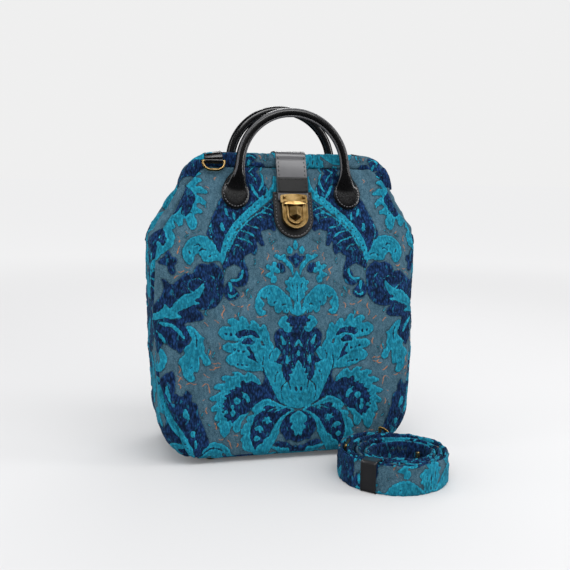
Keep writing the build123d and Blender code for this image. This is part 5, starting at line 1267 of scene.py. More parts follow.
def makeClosure(leather, endLeather, thread):
    cut = leatherCut
    half, thick = cut["closureWidth"] / 2, cut["thickness"]
    line, outward = profilePath(cut["frontLow"], cut["backLow"], 0.0)
    clear = np.where(line[:, 0] < 0, 0.25 + (thick + 0.45) * (1 - ramp(line[:, 1], 284, 309)), 0.25)
    line = line + outward * clear[:, None]
    # drawn straight from the mouth's edge to the lock, bowed out a little, over the groove under the mouth
    front = np.flatnonzero((line[:, 0] < 0) & (line[:, 1] > 281) & (line[:, 1] < 314.5))
    t = (line[front, 1] - line[front[0], 1]) / (line[front[-1], 1] - line[front[0], 1])
    line[front, 0] = line[front[0], 0] + (line[front[-1], 0] - line[front[0], 0]) * (0.88 * t + 0.12 * t * t)
    relax(line, 6)
    heading = unitHeading(line)
    outward = np.stack([-heading[:, 1], heading[:, 0]], 1)
    centre, up = stripPiece("closure_leather", line, outward, 0.0, half, thick, 0.7, leather, ("closure_strap",))
    patchTop = cut["endLow"] + cut["endHeight"]
    bm = bmesh.new()
    for sx in (-1, 1):
        row = centre + up * (thick - 0.05) + np.array([sx * (half - 2.4), 0, 0])
        keep = (centre[:, 1] < -11) & (centre[:, 2] > patchTop + 1) & (centre[:, 2] < 317)
        stitchRow(bm, row[keep], up[keep], stitch["pitch"], stitch["length"], stitch["radius"])
        keep = (centre[:, 1] > 9) & (centre[:, 2] < 314)
        stitchRow(bm, row[keep], up[keep], stitch["pitch"], stitch["length"], stitch["radius"])
    keep = (centre[:, 1] < 0) & (centre[:, 2] > cut["endLow"] - 0.2) & (centre[:, 2] < patchTop + 0.6)
    patchLine = line[keep] + outward[keep] * (thick + 0.1)
    stripPiece("closure_end_leather", patchLine, outward[keep], 0.0, half - 0.1, 1.5, 0.6, endLeather,
               ("closure_end_patch",), ease=0.8)
    for sx in (-1, 1):
        row = np.stack([np.full(keep.sum(), sx * (half - 2.2)), patchLine[:, 0], patchLine[:, 1]], 1)
        row = row + up[keep] * 1.45
        stitchRow(bm, row, up[keep], 3.4, 2.3, stitch["radius"])
    top = patchLine[-4]
    across = np.linspace(-half + 3, half - 3, 30)
    row = np.stack([across, np.full(30, top[0]), np.full(30, top[1])], 1) + up[keep][-4] * 1.45
    stitchRow(bm, row, np.tile(up[keep][-4], (30, 1)), 3.4, 2.3, stitch["radius"])
    finishStitches(bm, "closure_stitches", thread)


def makeLockPatch(leather, thread):
    # U-shaped patch under the lock, with a raised rim, wrapped on the front's slope
    cut = leatherCut
    half, low, high = cut["patchWidth"] / 2, cut["patchLow"], cut["patchHigh"]
    thick = cut["thickness"]

    def outline(inset):
        r = half - inset
        a = np.linspace(np.pi, 2 * np.pi, 40)
        bottom = np.stack([r * np.cos(a), low + half + r * np.sin(a)], 1)
        side = np.linspace(low + half, high - inset, 18)[1:]
        across = np.linspace(r, -r, 24)[1:-1]
        right = np.stack([np.full(17, r), side], 1)
        back = np.stack([across, np.full(22, high - inset)], 1)
        return np.concatenate([bottom, right, back, right[::-1] * (-1, 1)])

    rows = [(0.0, 0.1), (0.0, thick - 0.7), (0.25, thick - 0.2), (0.8, thick + 0.05), (1.5, thick + 0.10),
            (2.0, thick - 0.15), (2.5, thick - 0.42), (3.0, thick - 0.15), (3.6, thick), (6.0, thick + 0.12),
            (12.0, thick + 0.15)]
    points = []
    for inset, lift in rows:
        flat = outline(inset)
        points.append(onFace(flat[:, 0], flat[:, 1], lift, -1))
    mesh = meshFrom("lock_leather", np.array(points).reshape(-1, 3), tubeFaces(len(rows), len(points[0])))
    addPiece("lock_leather", mesh, leather, replaces=("lock_patch",))
    bm = bmesh.new()
    flat = outline(2.5)
    flat = np.concatenate([flat[79:], flat[:57]])       # down the left, round and up the right
    row, above = (onFace(flat[:, 0], flat[:, 1], thick + lift, -1) for lift in (-0.32, 0.68))
    stitchRow(bm, row, above - row, 3.5, 2.4, stitch["radius"])
    finishStitches(bm, "lock_patch_stitches", thread)


def foldedTab(name, pivot, side, x, half, upper, leather, replaces):
    # Strip that comes from behind a ring's bar, round it and up in front
    cut = leatherCut
    thick, wire = cut["ringTabThickness"], cut["ringWire"]
    reach = wire + 0.25 + thick
    turns = np.linspace(math.radians(-170), math.radians(55), 24)
    loop = [(pivot[0] + side * reach * math.cos(t), pivot[1] + reach * math.sin(t)) for t in turns]
    full = resample(np.array(loop + upper), 0.6)[0]
    relax(full, 4)
    heading = unitHeading(full)
    normal = np.stack([heading[:, 1], -heading[:, 0]], 1) * side
    return stripPiece(name, full - normal * thick, normal, x, half, thick, 0.5, leather, replaces, ease=0.8)


def makeRingTabs(leather, thread):
    cut = leatherCut
    half, thick, wire = cut["ringTabWidth"] / 2, cut["ringTabThickness"], cut["ringWire"]
    bm = bmesh.new()
    for x, side, node in cut["mouthRings"]:
        pivot = (side * (12.1 + 0.2 + thick + wire + 0.3), 310.5)
        upper = [(side * y, z) for y, z in cut["mouthTabTop"]]
        centre, up = foldedTab(node + "_leather", pivot, side, x, half, upper, leather, (node,))
        tail, out = profilePath(302.5, 302.5, 0.2)
        pick = (tail[:, 0] * side > 4) & (tail[:, 1] < 319.5)
        stripPiece(node + "_tail", tail[pick], out[pick], x, half, thick, 0.5, leather, (), ease=0.8)
        for sx in (-1, 1):
            shown = (centre[:, 2] > 314.5) & (np.abs(centre[:, 1]) > 4)
            row = centre[shown] + up[shown] * (thick - 0.03) + np.array([sx * (half - 1.8), 0, 0])
            row[:, 2] -= cornerDrop(row[:, 0], row[:, 2])
            stitchRow(bm, row, up[shown], 3.2, 2.2, 0.36)
    for x, z, node in cut["lowRings"]:
        depth = float(formAt(z)[1])
        pivot = (depth + 0.2 + thick + wire + 0.3, z)
        upper = [(pivot[0] + 0.6, z + 4.0), (depth + 3.4, z + 7.8)]
        foldedTab(node + "_leather", pivot, 1, x, half - 1.2, upper, leather, (node,))
        zs = np.linspace(z - 8, z + 8, 24)
        tail = np.stack([formAt(zs)[1] + 0.2, zs], 1)
        out = np.tile([1.0, 0.0], (24, 1))
        stripPiece(node + "_tail", tail, out, x, half, thick, 0.5, leather, (), ease=0.8)
    finishStitches(bm, "ring_tab_stitches", thread)


# The detached strap, coiled on its edge
coil = {
    "middle": (82.0, -129.0), "radius": 58.0, "turns": 3.57, "start": 86.0, "innerRadius": 29.0,
    "shift": (1.0, -10.0), "squash": 0.3, "width": 29.0, "thickness": 4.4,
    "keeperAngle": -138.0, "keeperWidth": 16.0, "keeperThickness": 1.1, "keeperCorner": 2.6,
    "slideAngle": 148.0, "slideWire": 1.15, "slideHalf": 9.5, "slideCorner": 2.2, "slideLow": 1.3,
    "slideOver": 0.9,
}


def coilAt(turn):
    turn = np.asarray(turn, float)
    share = turn / coil["turns"]
    angle = math.radians(coil["start"]) + 2 * np.pi * turn
    outer = coil["radius"] - coil["thickness"] / 2
    radius = outer + (coil["innerRadius"] - outer) * share
    x = coil["middle"][0] + coil["shift"][0] * share + radius * np.cos(angle)
    y = coil["middle"][1] + coil["shift"][1] * share + radius * (1 - coil["squash"] * share ** 2) * np.sin(angle)
    return np.stack([x, y], -1)


def coilHeading(turn):
    step = coilAt(np.asarray(turn) + 0.002) - coilAt(np.asarray(turn) - 0.002)
    return step / np.linalg.norm(step, axis=-1, keepdims=True)


def lapAt(angle, lap):
    return ((angle - coil["start"]) % 360) / 360 + lap


def makeStrap(fields, material):
    turns = np.linspace(0, coil["turns"], 6000)
    line = coilAt(turns)
    along = lengthAlong(line)
    length = along[-1]
    at = np.linspace(-3.0, length + 3.0, int((length + 6) / 1.05))
    t = np.interp(at, along, turns)
    heading = coilHeading(t)
    flat = coilAt(t) + heading * (at - np.clip(at, 0, length))[:, None]
    n = len(at)
    centre = np.stack([flat[:, 0], flat[:, 1], np.full(n, coil["width"] / 2)], 1)
    sideways = np.stack([-heading[:, 1], heading[:, 0], np.zeros(n)], 1)       # towards the middle of the coil
    upward = np.tile([0.0, 0.0, 1.0], (n, 1))
    half, tall = coil["thickness"] / 2 + 0.15, coil["width"] / 2
    # right side of the section from the top seam down; the two layers part at both edges
    z = np.concatenate([[tall - 1.9, tall - 0.6, tall - 0.1, tall - 0.15, tall - 0.8],
                        np.linspace(tall - 2.0, -tall + 2.0, 17),
                        [-tall + 0.8, -tall + 0.15, -tall + 0.1, -tall + 0.6, -tall + 1.9]])
    s = np.concatenate([[0.05, 0.35, 0.85, 1.45, 1.95], np.full(17, half), [1.95, 1.45, 0.85, 0.35, 0.05]])
    section = np.concatenate([np.stack([s, z], 1), np.stack([-s, z], 1)[::-1][1:-1]])
    sections = np.repeat(section[None], n, 0)
    u = at[:, None] + 0 * section[None, :, 0]
    v = section[None, :, 1] + 0 * u
    near = np.sign(section[None, :, 0]) + 0 * u
    a = sampleDamask(fields, u + 30, v + 46 + 14 * np.sin(u / 90))
    b = sampleDamask(fields, u + 120, v + 176 + 10 * np.sin(u / 70))
    found = {key: np.where(near > 0, a[key], b[key]) for key in a}
    # the side towards the coil's middle is made mostly navy: painted shade for the dark inside of the coil
    found["teal"] = found["teal"] - np.where(near > 0, 2.6, 0.0)
    found["navy"] = found["navy"] + np.where(near > 0, 3.2, 0.0)
    brink = ramp(np.abs(v), tall - 3.2, tall - 1.2)
    found["teal"] = found["teal"] + brink * (1.6 + 2.2 * softNoise(u, 30 * near, 5, 75))
    found["navy"] = np.minimum(found["navy"] + brink * 1.5, 1.0 - found["teal"])
    lift = (0.55 * pileHeight(found) + 0.35 * softNoise(u, v + 40 * near, 6, 71)
            + 0.30 * softNoise(u, v + 40 * near, 2.8, 72))
    edge = ramp(np.abs(section[None, :, 1]), tall - 3.5, tall - 0.3)
    lump = 0.65 * softNoise(u, 60 * near, 4.2, 73) + 0.4 * softNoise(u, 30 * near, 9, 74)
    direction = np.stack([np.sign(section[:, 0]) * (1 - edge[0] * 0.6), np.sign(section[:, 1]) * edge[0]], 1)
    amount = (lift - 0.35) * (1 - edge * 0.4) + lump * edge
    seam = (np.abs(section[:, 0]) < 0.1)[None, :]
    sections = sections + direction[None] * np.where(seam, 0, amount)[..., None]
    sections[..., 1] = np.clip(sections[..., 1], -tall, tall + 1.3)
    # the keeper and the slide press the cloth
    pressed = [(lapAt(coil["keeperAngle"], 0), 8.5, 2.2), (lapAt(coil["keeperAngle"], 1), 8.5, 2.2),
               (lapAt(coil["slideAngle"], 1), 11, 2.4)]
    for turn, reach, raised in pressed:
        squeeze = np.exp(-((at - np.interp(turn, turns, along)) / reach) ** 6)[:, None]
        sections[..., 0] *= 1 - 0.13 * squeeze
        tight = np.clip(sections[..., 1], -tall + raised * squeeze, tall + 1.3 - 1.3 * squeeze)
        sections[..., 1] = np.where(squeeze > 0.02, tight, sections[..., 1])
    # both ends swell round their eyes and close
    for end in (0.0, length):
        gap = np.abs(at - end)
        beyond = np.maximum((at - end) * (1 if end else -1), 0)
        sections[..., 0] *= (1 + 0.45 * np.maximum(0, 1 - (gap / 12) ** 2))[:, None]
        sections[..., 1] *= (1 - 0.2 * ramp(-gap, -16, -2))[:, None]
        sections[..., 0] *= np.sqrt(np.clip(1 - (beyond / 3.2) ** 2, 0.05, 1))[:, None]
    mesh = meshFrom("strap_cloth", *sweepSection(centre, sideways, upward, sections))
    setFields(mesh, found)
    strap = addPiece("strap_cloth", mesh, material, replaces=("strap",))
    print("strap made,", round(length), "mm long,", len(mesh.polygons), "faces")


def sweepRing(origin, across, sideways, sizes, corner, section):
    # Closed loop with round corners that stands in the plane of across and the vertical: points and faces
    left, right, low, high = sizes
    outline = []
    for x, z, start in ((right - corner, low + corner, -90), (right - corner, high - corner, 0),
                        (left + corner, high - corner, 90), (left + corner, low + corner, 180)):
        for k in range(7):
            a = math.radians(start + 15 * k)
            outline.append((x + corner * math.cos(a), z + corner * math.sin(a)))
    ring = resample(np.array(outline + outline[:1]), 0.8)[0][:-1]
    forward = np.roll(ring, -1, 0) - np.roll(ring, 1, 0)
    forward /= np.linalg.norm(forward, axis=1)[:, None]
    up = np.array([0, 0, 1.0])
    centre = origin + ring[:, :1] * across + ring[:, 1:] * up
    outward = forward[:, 1:] * across - forward[:, :1] * up
    sections = np.repeat(np.array(section)[None], len(ring), 0)
    return sweepSection(centre, np.tile(sideways, (len(ring), 1)), outward, sections, closed=True)


def coilFrame(turn):
    # A point of the coil, the way along it and the way to its middle
    origin, heading = coilAt(turn), coilHeading(turn)
    return np.append(origin, 0.0), np.append(heading, 0.0), np.array([-heading[1], heading[0], 0.0])


def makeSlide(metal):
    # Wire frame that lies on the strap's second lap, outside it
    origin, heading, inward = coilFrame(lapAt(coil["slideAngle"], 1))
    wire, half = coil["slideWire"], coil["slideHalf"]
    sizes = (-half, half, coil["slideLow"], coil["width"] + coil["slideOver"])
    section = [(wire * math.cos(t), wire * math.sin(t)) for t in np.linspace(0, 2 * math.pi, 15)[:-1]]
    middle = origin - inward * (coil["thickness"] / 2 + 0.4)
    mesh = meshFrom("strap_slide_wire", *sweepRing(middle, heading, inward, sizes, coil["slideCorner"], section))
    addPiece("strap_slide_wire", mesh, metal, replaces=("strap_slider",))


def makeKeeper(leather):
    # Leather loop round the strap's first two laps
    t, w = coil["keeperThickness"], coil["keeperWidth"] / 2
    half = [(w, -t / 2), (w + 0.25, 0), (w, t / 2), (w - 0.5, t / 2 + 0.30), (w - 1.2, t / 2 + 0.28),
            (w - 1.8, t / 2 - 0.1), (w - 2.3, t / 2 - 0.02), (w * 0.5, t / 2 + 0.05), (0, t / 2 + 0.05)]
    section = half + [(-x, y) for x, y in half[:-1]][::-1]
    origin, heading, inward = coilFrame(lapAt(coil["keeperAngle"], 0))
    tall = max(y for x, y in section)
    second = coilAt(lapAt(coil["keeperAngle"], 1)) - origin[:2]
    far = second @ inward[:2] + coil["thickness"] / 2 + 0.9 + tall
    near = -coil["thickness"] / 2 - 0.1 - tall
    middle, halfDepth = (near + far) / 2, (far - near) / 2
    sizes = (middle - halfDepth, middle + halfDepth, t / 2, coil["width"] + t + 0.6)
    mesh = meshFrom("keeper_leather", *sweepRing(origin, inward, heading, sizes, coil["keeperCorner"], section))
    addPiece("keeper_leather", mesh, leather, replaces=("strap_keeper",))


lock = {
    "middle": 253.0, "width": 27.5, "length": 27.0, "field": 5.2, "rimWidth": 1.2, "rimHeight": 1.0,
    "ringWidth": 18.5, "ringThick": 1.5, "ringHeight": 2.1, "bevel": 0.42,
    "buttonWidth": 12.0, "buttonLength": 15.0, "buttonInset": 3.6, "buttonRidge": 3.6, "buttonBack": 2.0,
    "plateWidth": 29.0, "plateHeight": 10.5, "plateBack": 3.2, "plateThick": 1.3, "plateArch": 1.3,
    "lipHalf": 11.5, "lipLow": 10.9,
}


def lockPlane():
    # X right, Y up along the leaning front, Z outwards, in metres
    z, span = lock["middle"], lock["length"] / 2
    lean = math.atan((float(formAt(z - span)[1]) - float(formAt(z + span)[1])) / (2 * span))
    out = Vector((0, -math.cos(lean), math.sin(lean)))
    origin = Vector((0, -float(formAt(z)[1]) - 2.6 / math.cos(lean), z)) + out * 0.3 + Vector(bagMiddle)
    turn = Matrix(((1, 0, 0), (0, math.sin(lean), math.cos(lean)), tuple(out))).transposed().to_4x4()
    return Matrix.Translation(origin * mm) @ turn @ Matrix.Scale(mm, 4)


def archOutline(halfWide, low, high, count=24):
    # U with its round end down, from the upper left round to the upper right
    a = np.linspace(math.pi, 2 * math.pi, count)
    arch = [(halfWide * math.cos(t), low + halfWide + halfWide * math.sin(t)) for t in a]
    return [(-halfWide, high)] + arch + [(halfWide, high)]


def bevelEdges(bm, edges, offset, segments):
    bmesh.ops.bevel(bm, geom=list(edges), offset=offset, segments=segments, profile=0.5, affect="EDGES",
                    material=-1)


def addPlate(bm, outline, back, front, bevel):
    # Flat plate with rounded front arrises
    face = bm.faces.new([bm.verts.new((x, y, back)) for x, y in outline])
    found = bmesh.ops.extrude_face_region(bm, geom=[face], use_keep_orig=True)["geom"]
    top = [f for f in found if isinstance(f, bmesh.types.BMFace)][0]
    bmesh.ops.translate(bm, verts=list(top.verts), vec=(0, 0, front - back))
    bevelEdges(bm, top.edges, bevel, 3)


def finishLock(bm, name, metal, body, replaces):
    bmesh.ops.recalc_face_normals(bm, faces=bm.faces)
    bmesh.ops.transform(bm, matrix=lockPlane(), verts=bm.verts)
    mesh = bpy.data.meshes.new(name)
    bm.to_mesh(mesh)
    bm.free()
    addPiece(name, mesh, metal, body, replaces)
    for face in mesh.polygons:
        face.use_smooth = face.area < 0.6e-6 and len(face.vertices) < 5


def makeLock(metal):
    low, high = -lock["length"] / 2, lock["length"] / 2
    half, field = lock["width"] / 2, lock["field"]
    w, top = lock["buttonWidth"] / 2 + 0.35, high - lock["buttonInset"] + 0.3
    bottom = high - lock["buttonInset"] - lock["buttonLength"] - 0.4
    bm = bmesh.new()
    addPlate(bm, archOutline(half - 0.3, low + 0.3, high - 0.3), 0.0, 1.2, 0.2)
    notch = [(w, high), (w, bottom + 4.6), (0, bottom), (-w, bottom + 4.6), (-w, high)]
    addPlate(bm, archOutline(half, low, high) + notch, 1.0, field, 0.3)
    inset = lock["rimWidth"]
    rim = archOutline(half, low, high) + archOutline(half - inset, low + inset, high)[::-1]
    addPlate(bm, rim, field - 0.4, field + lock["rimHeight"], lock["bevel"])
    r, ringLow = lock["ringWidth"] / 2, low + (lock["width"] - lock["ringWidth"]) / 2
    ring = archOutline(r, ringLow, high - 1.2)
    ring += archOutline(r - lock["ringThick"], ringLow + lock["ringThick"], high - 1.2)[::-1]
    addPlate(bm, ring, field - 0.4, field + lock["ringHeight"], 0.6)
    finishLock(bm, "lock_case", metal, "set", ("lock_body",))

    # the sprung button: two facets that meet in a ridge, and a third that falls to its point
    bm = bmesh.new()
    w, top = lock["buttonWidth"] / 2, high - lock["buttonInset"]
    bottom = top - lock["buttonLength"]
    eaves, ridge = field + 1.9, field + 1.9 + lock["buttonRidge"]
    outline = [(-w, top), (-w, bottom + 4.5), (0, bottom), (w, bottom + 4.5), (w, top)]
    for x, y in outline:
        bm.verts.new((x, y, lock["buttonBack"]))
        bm.verts.new((x, y, eaves - (0.6 if y == bottom else 0.0)))
    for y in (top, bottom + lock["buttonLength"] * 0.38):
        bm.verts.new((0.8, y, ridge))
    bmesh.ops.convex_hull(bm, input=bm.verts)
    bmesh.ops.dissolve_limit(bm, angle_limit=0.02, verts=bm.verts, edges=bm.edges)
    bevelEdges(bm, bm.edges, 0.28, 2)
    finishLock(bm, "lock_push_button", metal, "button", ("lock_button",))

    # plate on the strap's end with a bowed lip that stands over the case
    bm = bmesh.new()
    half, plateLow, height = lock["plateWidth"] / 2, high + 0.6, lock["plateHeight"]
    arch = [(x, plateLow + height - lock["plateArch"] * (x / half) ** 2)
            for x in np.linspace(half - 0.7, -half + 0.7, 15)]
    outline = [(-half, plateLow + 0.8), (-half + 0.8, plateLow), (half - 0.8, plateLow), (half, plateLow + 0.8),
               (half, plateLow + height - 2.2)] + arch + [(-half, plateLow + height - 2.2)]
    addPlate(bm, outline, lock["plateBack"], lock["plateBack"] + lock["plateThick"], 0.45)
    lip = bmesh.new()
    for x in np.linspace(-lock["lipHalf"], lock["lipHalf"], 13):
        share = (x / lock["lipHalf"]) ** 2
        rise = 1.5 * share
        for y, z in ((lock["lipLow"] + rise, 7.5), (lock["lipLow"] + rise, 8.3),
                     (lock["lipLow"] + 0.8 + rise, 8.9 - 0.8 * share), (plateLow + 1.3, 8.3 - 1.4 * share),
                     (plateLow + 2.4, 4.6), (plateLow + 0.3, lock["plateBack"] + 0.2)):
            lip.verts.new((x, y, z))
    bmesh.ops.convex_hull(lip, input=lip.verts)
    spare = bpy.data.meshes.new("lip_part")
    lip.to_mesh(spare)
    lip.free()
    bm.from_mesh(spare)
    bpy.data.meshes.remove(spare)
    finishLock(bm, "tongue_plate_leaf", metal, "set", ("tongue_plate",))


def makeTapestry():
    # Woven chenille tapestry: matt ground with raised cut pile, painted shade in the cuts and beside the pile, and
    # a painted highlight along the pile's rims
    material, tree = newMaterial("chenille_tapestry_cloth")
    coords = addNode(tree, "ShaderNodeTexCoord").outputs["Object"]
    # chenille lies upright, so its mottle is drawn out along z
    upright = addNode(tree, "ShaderNodeVectorMath", {"operation": "MULTIPLY"}, {
        0: coords, 1: (1.0, 1.0, 0.45)}).outputs[0]
    fray = addNode(tree, "ShaderNodeTexNoise", None, {
        "Vector": coords, "Scale": 620.0, "Detail": 2.0, "Roughness": 0.6}).outputs["Fac"]
    # 1.6 mm tufts, edge wanders about half a mm
    fray = addNode(tree, "ShaderNodeMath", {"operation": "MULTIPLY_ADD"}, {
        0: fray, 1: 2.2, 2: -1.1}).outputs[0]
    field, mask = {}, {}
    for name, share in (("teal", 1.0), ("navy", 1.0), ("fleck", 0.4)):
        drawn = addNode(tree, "ShaderNodeAttribute", {"attribute_name": name}).outputs["Fac"]
        field[name] = addNode(tree, "ShaderNodeMath", {"operation": "MULTIPLY_ADD"}, {
            0: fray, 1: share, 2: drawn}).outputs[0]
        mask[name] = addNode(tree, "ShaderNodeMapRange", {"interpolation_type": "SMOOTHSTEP"}, {
            "Value": field[name], "From Min": -0.25, "From Max": 0.25}).outputs[0]
    # 2 mm tufts, drawn half as coarse again as cut
    tufts = addNode(tree, "ShaderNodeTexVoronoi", {"feature": "F1"}, {
        "Vector": upright, "Scale": 520.0}).outputs["Distance"]
    strands = addNode(tree, "ShaderNodeTexNoise", None, {
        "Vector": upright, "Scale": 330.0, "Detail": 3.0, "Roughness": 0.65}).outputs["Fac"]
    # 1.1 mm picks, twice as coarse as woven
    weave = addNode(tree, "ShaderNodeTexVoronoi", {"feature": "F1"}, {
        "Vector": coords, "Scale": 900.0}).outputs["Distance"]
    broad = addNode(tree, "ShaderNodeTexNoise", None, {
        "Vector": coords, "Scale": 55.0, "Detail": 3.0}).outputs["Fac"]
    worn = addNode(tree, "ShaderNodeMapRange", None, {
        "Value": strands, "From Min": 0.36, "From Max": 0.64}).outputs[0]
    deep = addNode(tree, "ShaderNodeMapRange", None, {
        "Value": tufts, "From Min": 0.15, "From Max": 0.75}).outputs[0]
    broken = addNode(tree, "ShaderNodeTexNoise", None, {
        "Vector": coords, "Scale": 130.0, "Detail": 1.0}).outputs["Fac"]
    broken = addNode(tree, "ShaderNodeMapRange", None, {
        "Value": broken, "From Min": 0.44, "From Max": 0.60}).outputs[0]
    tone = {}
    # light and mid are the cloth's own tones; the dark one is painted shade, laid in the gaps between tufts and
    # between the ground's picks
    for name, light, mid, dark in (("teal", "#2798B2", "#147893", "#07435C"),
                                   ("navy", "#21457A", "#102B54", "#030B1C"),
                                   ("ground", "#567889", "#406070", "#223947")):
        body = addNode(tree, "ShaderNodeMix", {"data_type": "RGBA"}, {
            0: worn, 6: linear(mid), 7: linear(light)}).outputs[2]
        cut = addNode(tree, "ShaderNodeMath", {"operation": "MULTIPLY"}, {
            0: weave if name == "ground" else deep,
            1: {"teal": 0.5, "navy": 0.85, "ground": 0.75}[name]}).outputs[0]
        tone[name] = addNode(tree, "ShaderNodeMix", {"data_type": "RGBA"}, {
            0: cut, 6: body, 7: linear(dark)}).outputs[2]
    threads = addNode(tree, "ShaderNodeTexNoise", None, {
        "Vector": upright, "Scale": 240.0, "Detail": 2.0, "Distortion": 0.6}).outputs["Fac"]
    threads = addNode(tree, "ShaderNodeMapRange", {"interpolation_type": "SMOOTHSTEP"}, {
        "Value": threads, "From Min": 0.60, "From Max": 0.68, "To Max": 0.55}).outputs[0]
    tone["navy"] = addNode(tree, "ShaderNodeMix", {"data_type": "RGBA"}, {
        0: threads, 6: tone["navy"], 7: linear("#1A7390")}).outputs[2]
    colour = addNode(tree, "ShaderNodeMix", {"data_type": "RGBA"}, {
        0: mask["fleck"], 6: tone["ground"], 7: linear("#A8704C")}).outputs[2]
    for name in ("navy", "teal"):
        # the lower weave is shaded beside the pile, and the pile's own rim catches more light
        shadow = addNode(tree, "ShaderNodeMapRange", None, {
            "Value": field[name], "From Min": -1.5, "From Max": -0.2, "To Min": 1.0, "To Max": 0.55}).outputs[0]
        rim = addNode(tree, "ShaderNodeMapRange", None, {
            "Value": field[name], "From Min": 0.3, "From Max": 2.4, "To Min": 1.22, "To Max": 0.92}).outputs[0]
        below = addNode(tree, "ShaderNodeMix", {"data_type": "RGBA", "blend_type": "MULTIPLY"}, {
            0: 1.0, 6: colour, 7: shadow}).outputs[2]
        # rows of loops inside each leaf, a dark line about 2 mm in from its edge that comes and goes
        row = addNode(tree, "ShaderNodeMath", {"operation": "SUBTRACT"}, {0: field[name], 1: 2.5}).outputs[0]
        row = addNode(tree, "ShaderNodeMath", {"operation": "ABSOLUTE"}, {0: row}).outputs[0]
        row = addNode(tree, "ShaderNodeMath", {"operation": "MULTIPLY_ADD"}, {
            0: broken, 1: 1.0, 2: row}).outputs[0]
        row = addNode(tree, "ShaderNodeMapRange", {"interpolation_type": "SMOOTHSTEP"}, {
            "Value": row, "From Min": 0.15, "From Max": 0.75, "To Min": 0.72, "To Max": 1.0}).outputs[0]
        rim = addNode(tree, "ShaderNodeMath", {"operation": "MULTIPLY"}, {0: rim, 1: row}).outputs[0]
        above = addNode(tree, "ShaderNodeMix", {"data_type": "RGBA", "blend_type": "MULTIPLY"}, {
            0: 1.0, 6: tone[name], 7: rim}).outputs[2]
        colour = addNode(tree, "ShaderNodeMix", {"data_type": "RGBA"}, {
            0: mask[name], 6: below, 7: above}).outputs[2]
    shade = addNode(tree, "ShaderNodeMapRange", None, {
        "Value": broad, "From Min": 0.3, "From Max": 0.7, "To Min": 0.80, "To Max": 1.12}).outputs[0]
    colour = addNode(tree, "ShaderNodeMix", {"data_type": "RGBA", "blend_type": "MULTIPLY"}, {
        0: 1.0, 6: colour, 7: shade}).outputs[2]
    piled = addNode(tree, "ShaderNodeMath", {"operation": "MAXIMUM"}, {
        0: mask["teal"], 1: mask["navy"]}).outputs[0]
    depth = addNode(tree, "ShaderNodeMath", {"operation": "MULTIPLY_ADD"}, {
        0: piled, 1: -0.7, 2: -0.1}).outputs[0]
    height = addNode(tree, "ShaderNodeMath", {"operation": "MULTIPLY_ADD"}, {
        0: tufts, 1: depth, 2: piled}).outputs[0]
    height = addNode(tree, "ShaderNodeMath", {"operation": "MULTIPLY_ADD"}, {
        0: weave, 1: -0.28, 2: height}).outputs[0]
    height = addNode(tree, "ShaderNodeMath", {"operation": "MULTIPLY_ADD"}, {
        0: strands, 1: 0.6, 2: height}).outputs[0]
    height = addNode(tree, "ShaderNodeMath", {"operation": "MULTIPLY_ADD"}, {
        0: mask["fleck"], 1: 0.35, 2: height}).outputs[0]
    bump = addNode(tree, "ShaderNodeBump", None, {
        "Height": height, "Strength": 0.9, "Distance": 0.0011}).outputs[0]
    shader = addNode(tree, "ShaderNodeBsdfPrincipled", None, {
        "Base Color": colour, "Roughness": 0.88, "IOR": 1.45, "Sheen Weight": 0.12, "Sheen Roughness": 0.45,
        "Sheen Tint": linear("#6FB4D0"), "Normal": bump, "Specular IOR Level": 0.12})
    finishMaterial(tree, shader)
    return material


def makeLeather(name, light, dark, rough, grain, coat=0.0):
    # Finished cowhide: fine grain, a waxy gloss that breaks up in the pores
    material, tree = newMaterial(name)
    coords = addNode(tree, "ShaderNodeTexCoord").outputs["Object"]
    cells = addNode(tree, "ShaderNodeTexVoronoi", {"feature": "DISTANCE_TO_EDGE"}, {
        "Vector": coords, "Scale": grain}).outputs["Distance"]
    patches = addNode(tree, "ShaderNodeTexNoise", None, {
        "Vector": coords, "Scale": 90.0, "Detail": 4.0}).outputs["Fac"]
    creases = addNode(tree, "ShaderNodeTexNoise", None, {
        "Vector": coords, "Scale": 420.0, "Detail": 3.0}).outputs["Fac"]
    colour = addNode(tree, "ShaderNodeMix", {"data_type": "RGBA"}, {
        0: patches, 6: linear(dark), 7: linear(light)}).outputs[2]
    edge = addNode(tree, "ShaderNodeMapRange", None, {"Value": cells, "From Max": 0.12}).outputs[0]
    height = addNode(tree, "ShaderNodeMath", {"operation": "MULTIPLY_ADD"}, {
        0: creases, 1: 0.8, 2: edge}).outputs[0]
    bump = addNode(tree, "ShaderNodeBump", None, {
        "Height": height, "Strength": 0.10, "Distance": 0.0002}).outputs[0]
    roughness = addNode(tree, "ShaderNodeMapRange", None, {
        "Value": creases, "To Min": rough - 0.03, "To Max": rough + 0.05}).outputs[0]
    shader = addNode(tree, "ShaderNodeBsdfPrincipled", None, {
        "Base Color": colour, "Roughness": roughness, "IOR": 1.5, "Coat Weight": coat, "Coat Roughness": 0.14,
        "Normal": bump})
    finishMaterial(tree, shader)
    return material


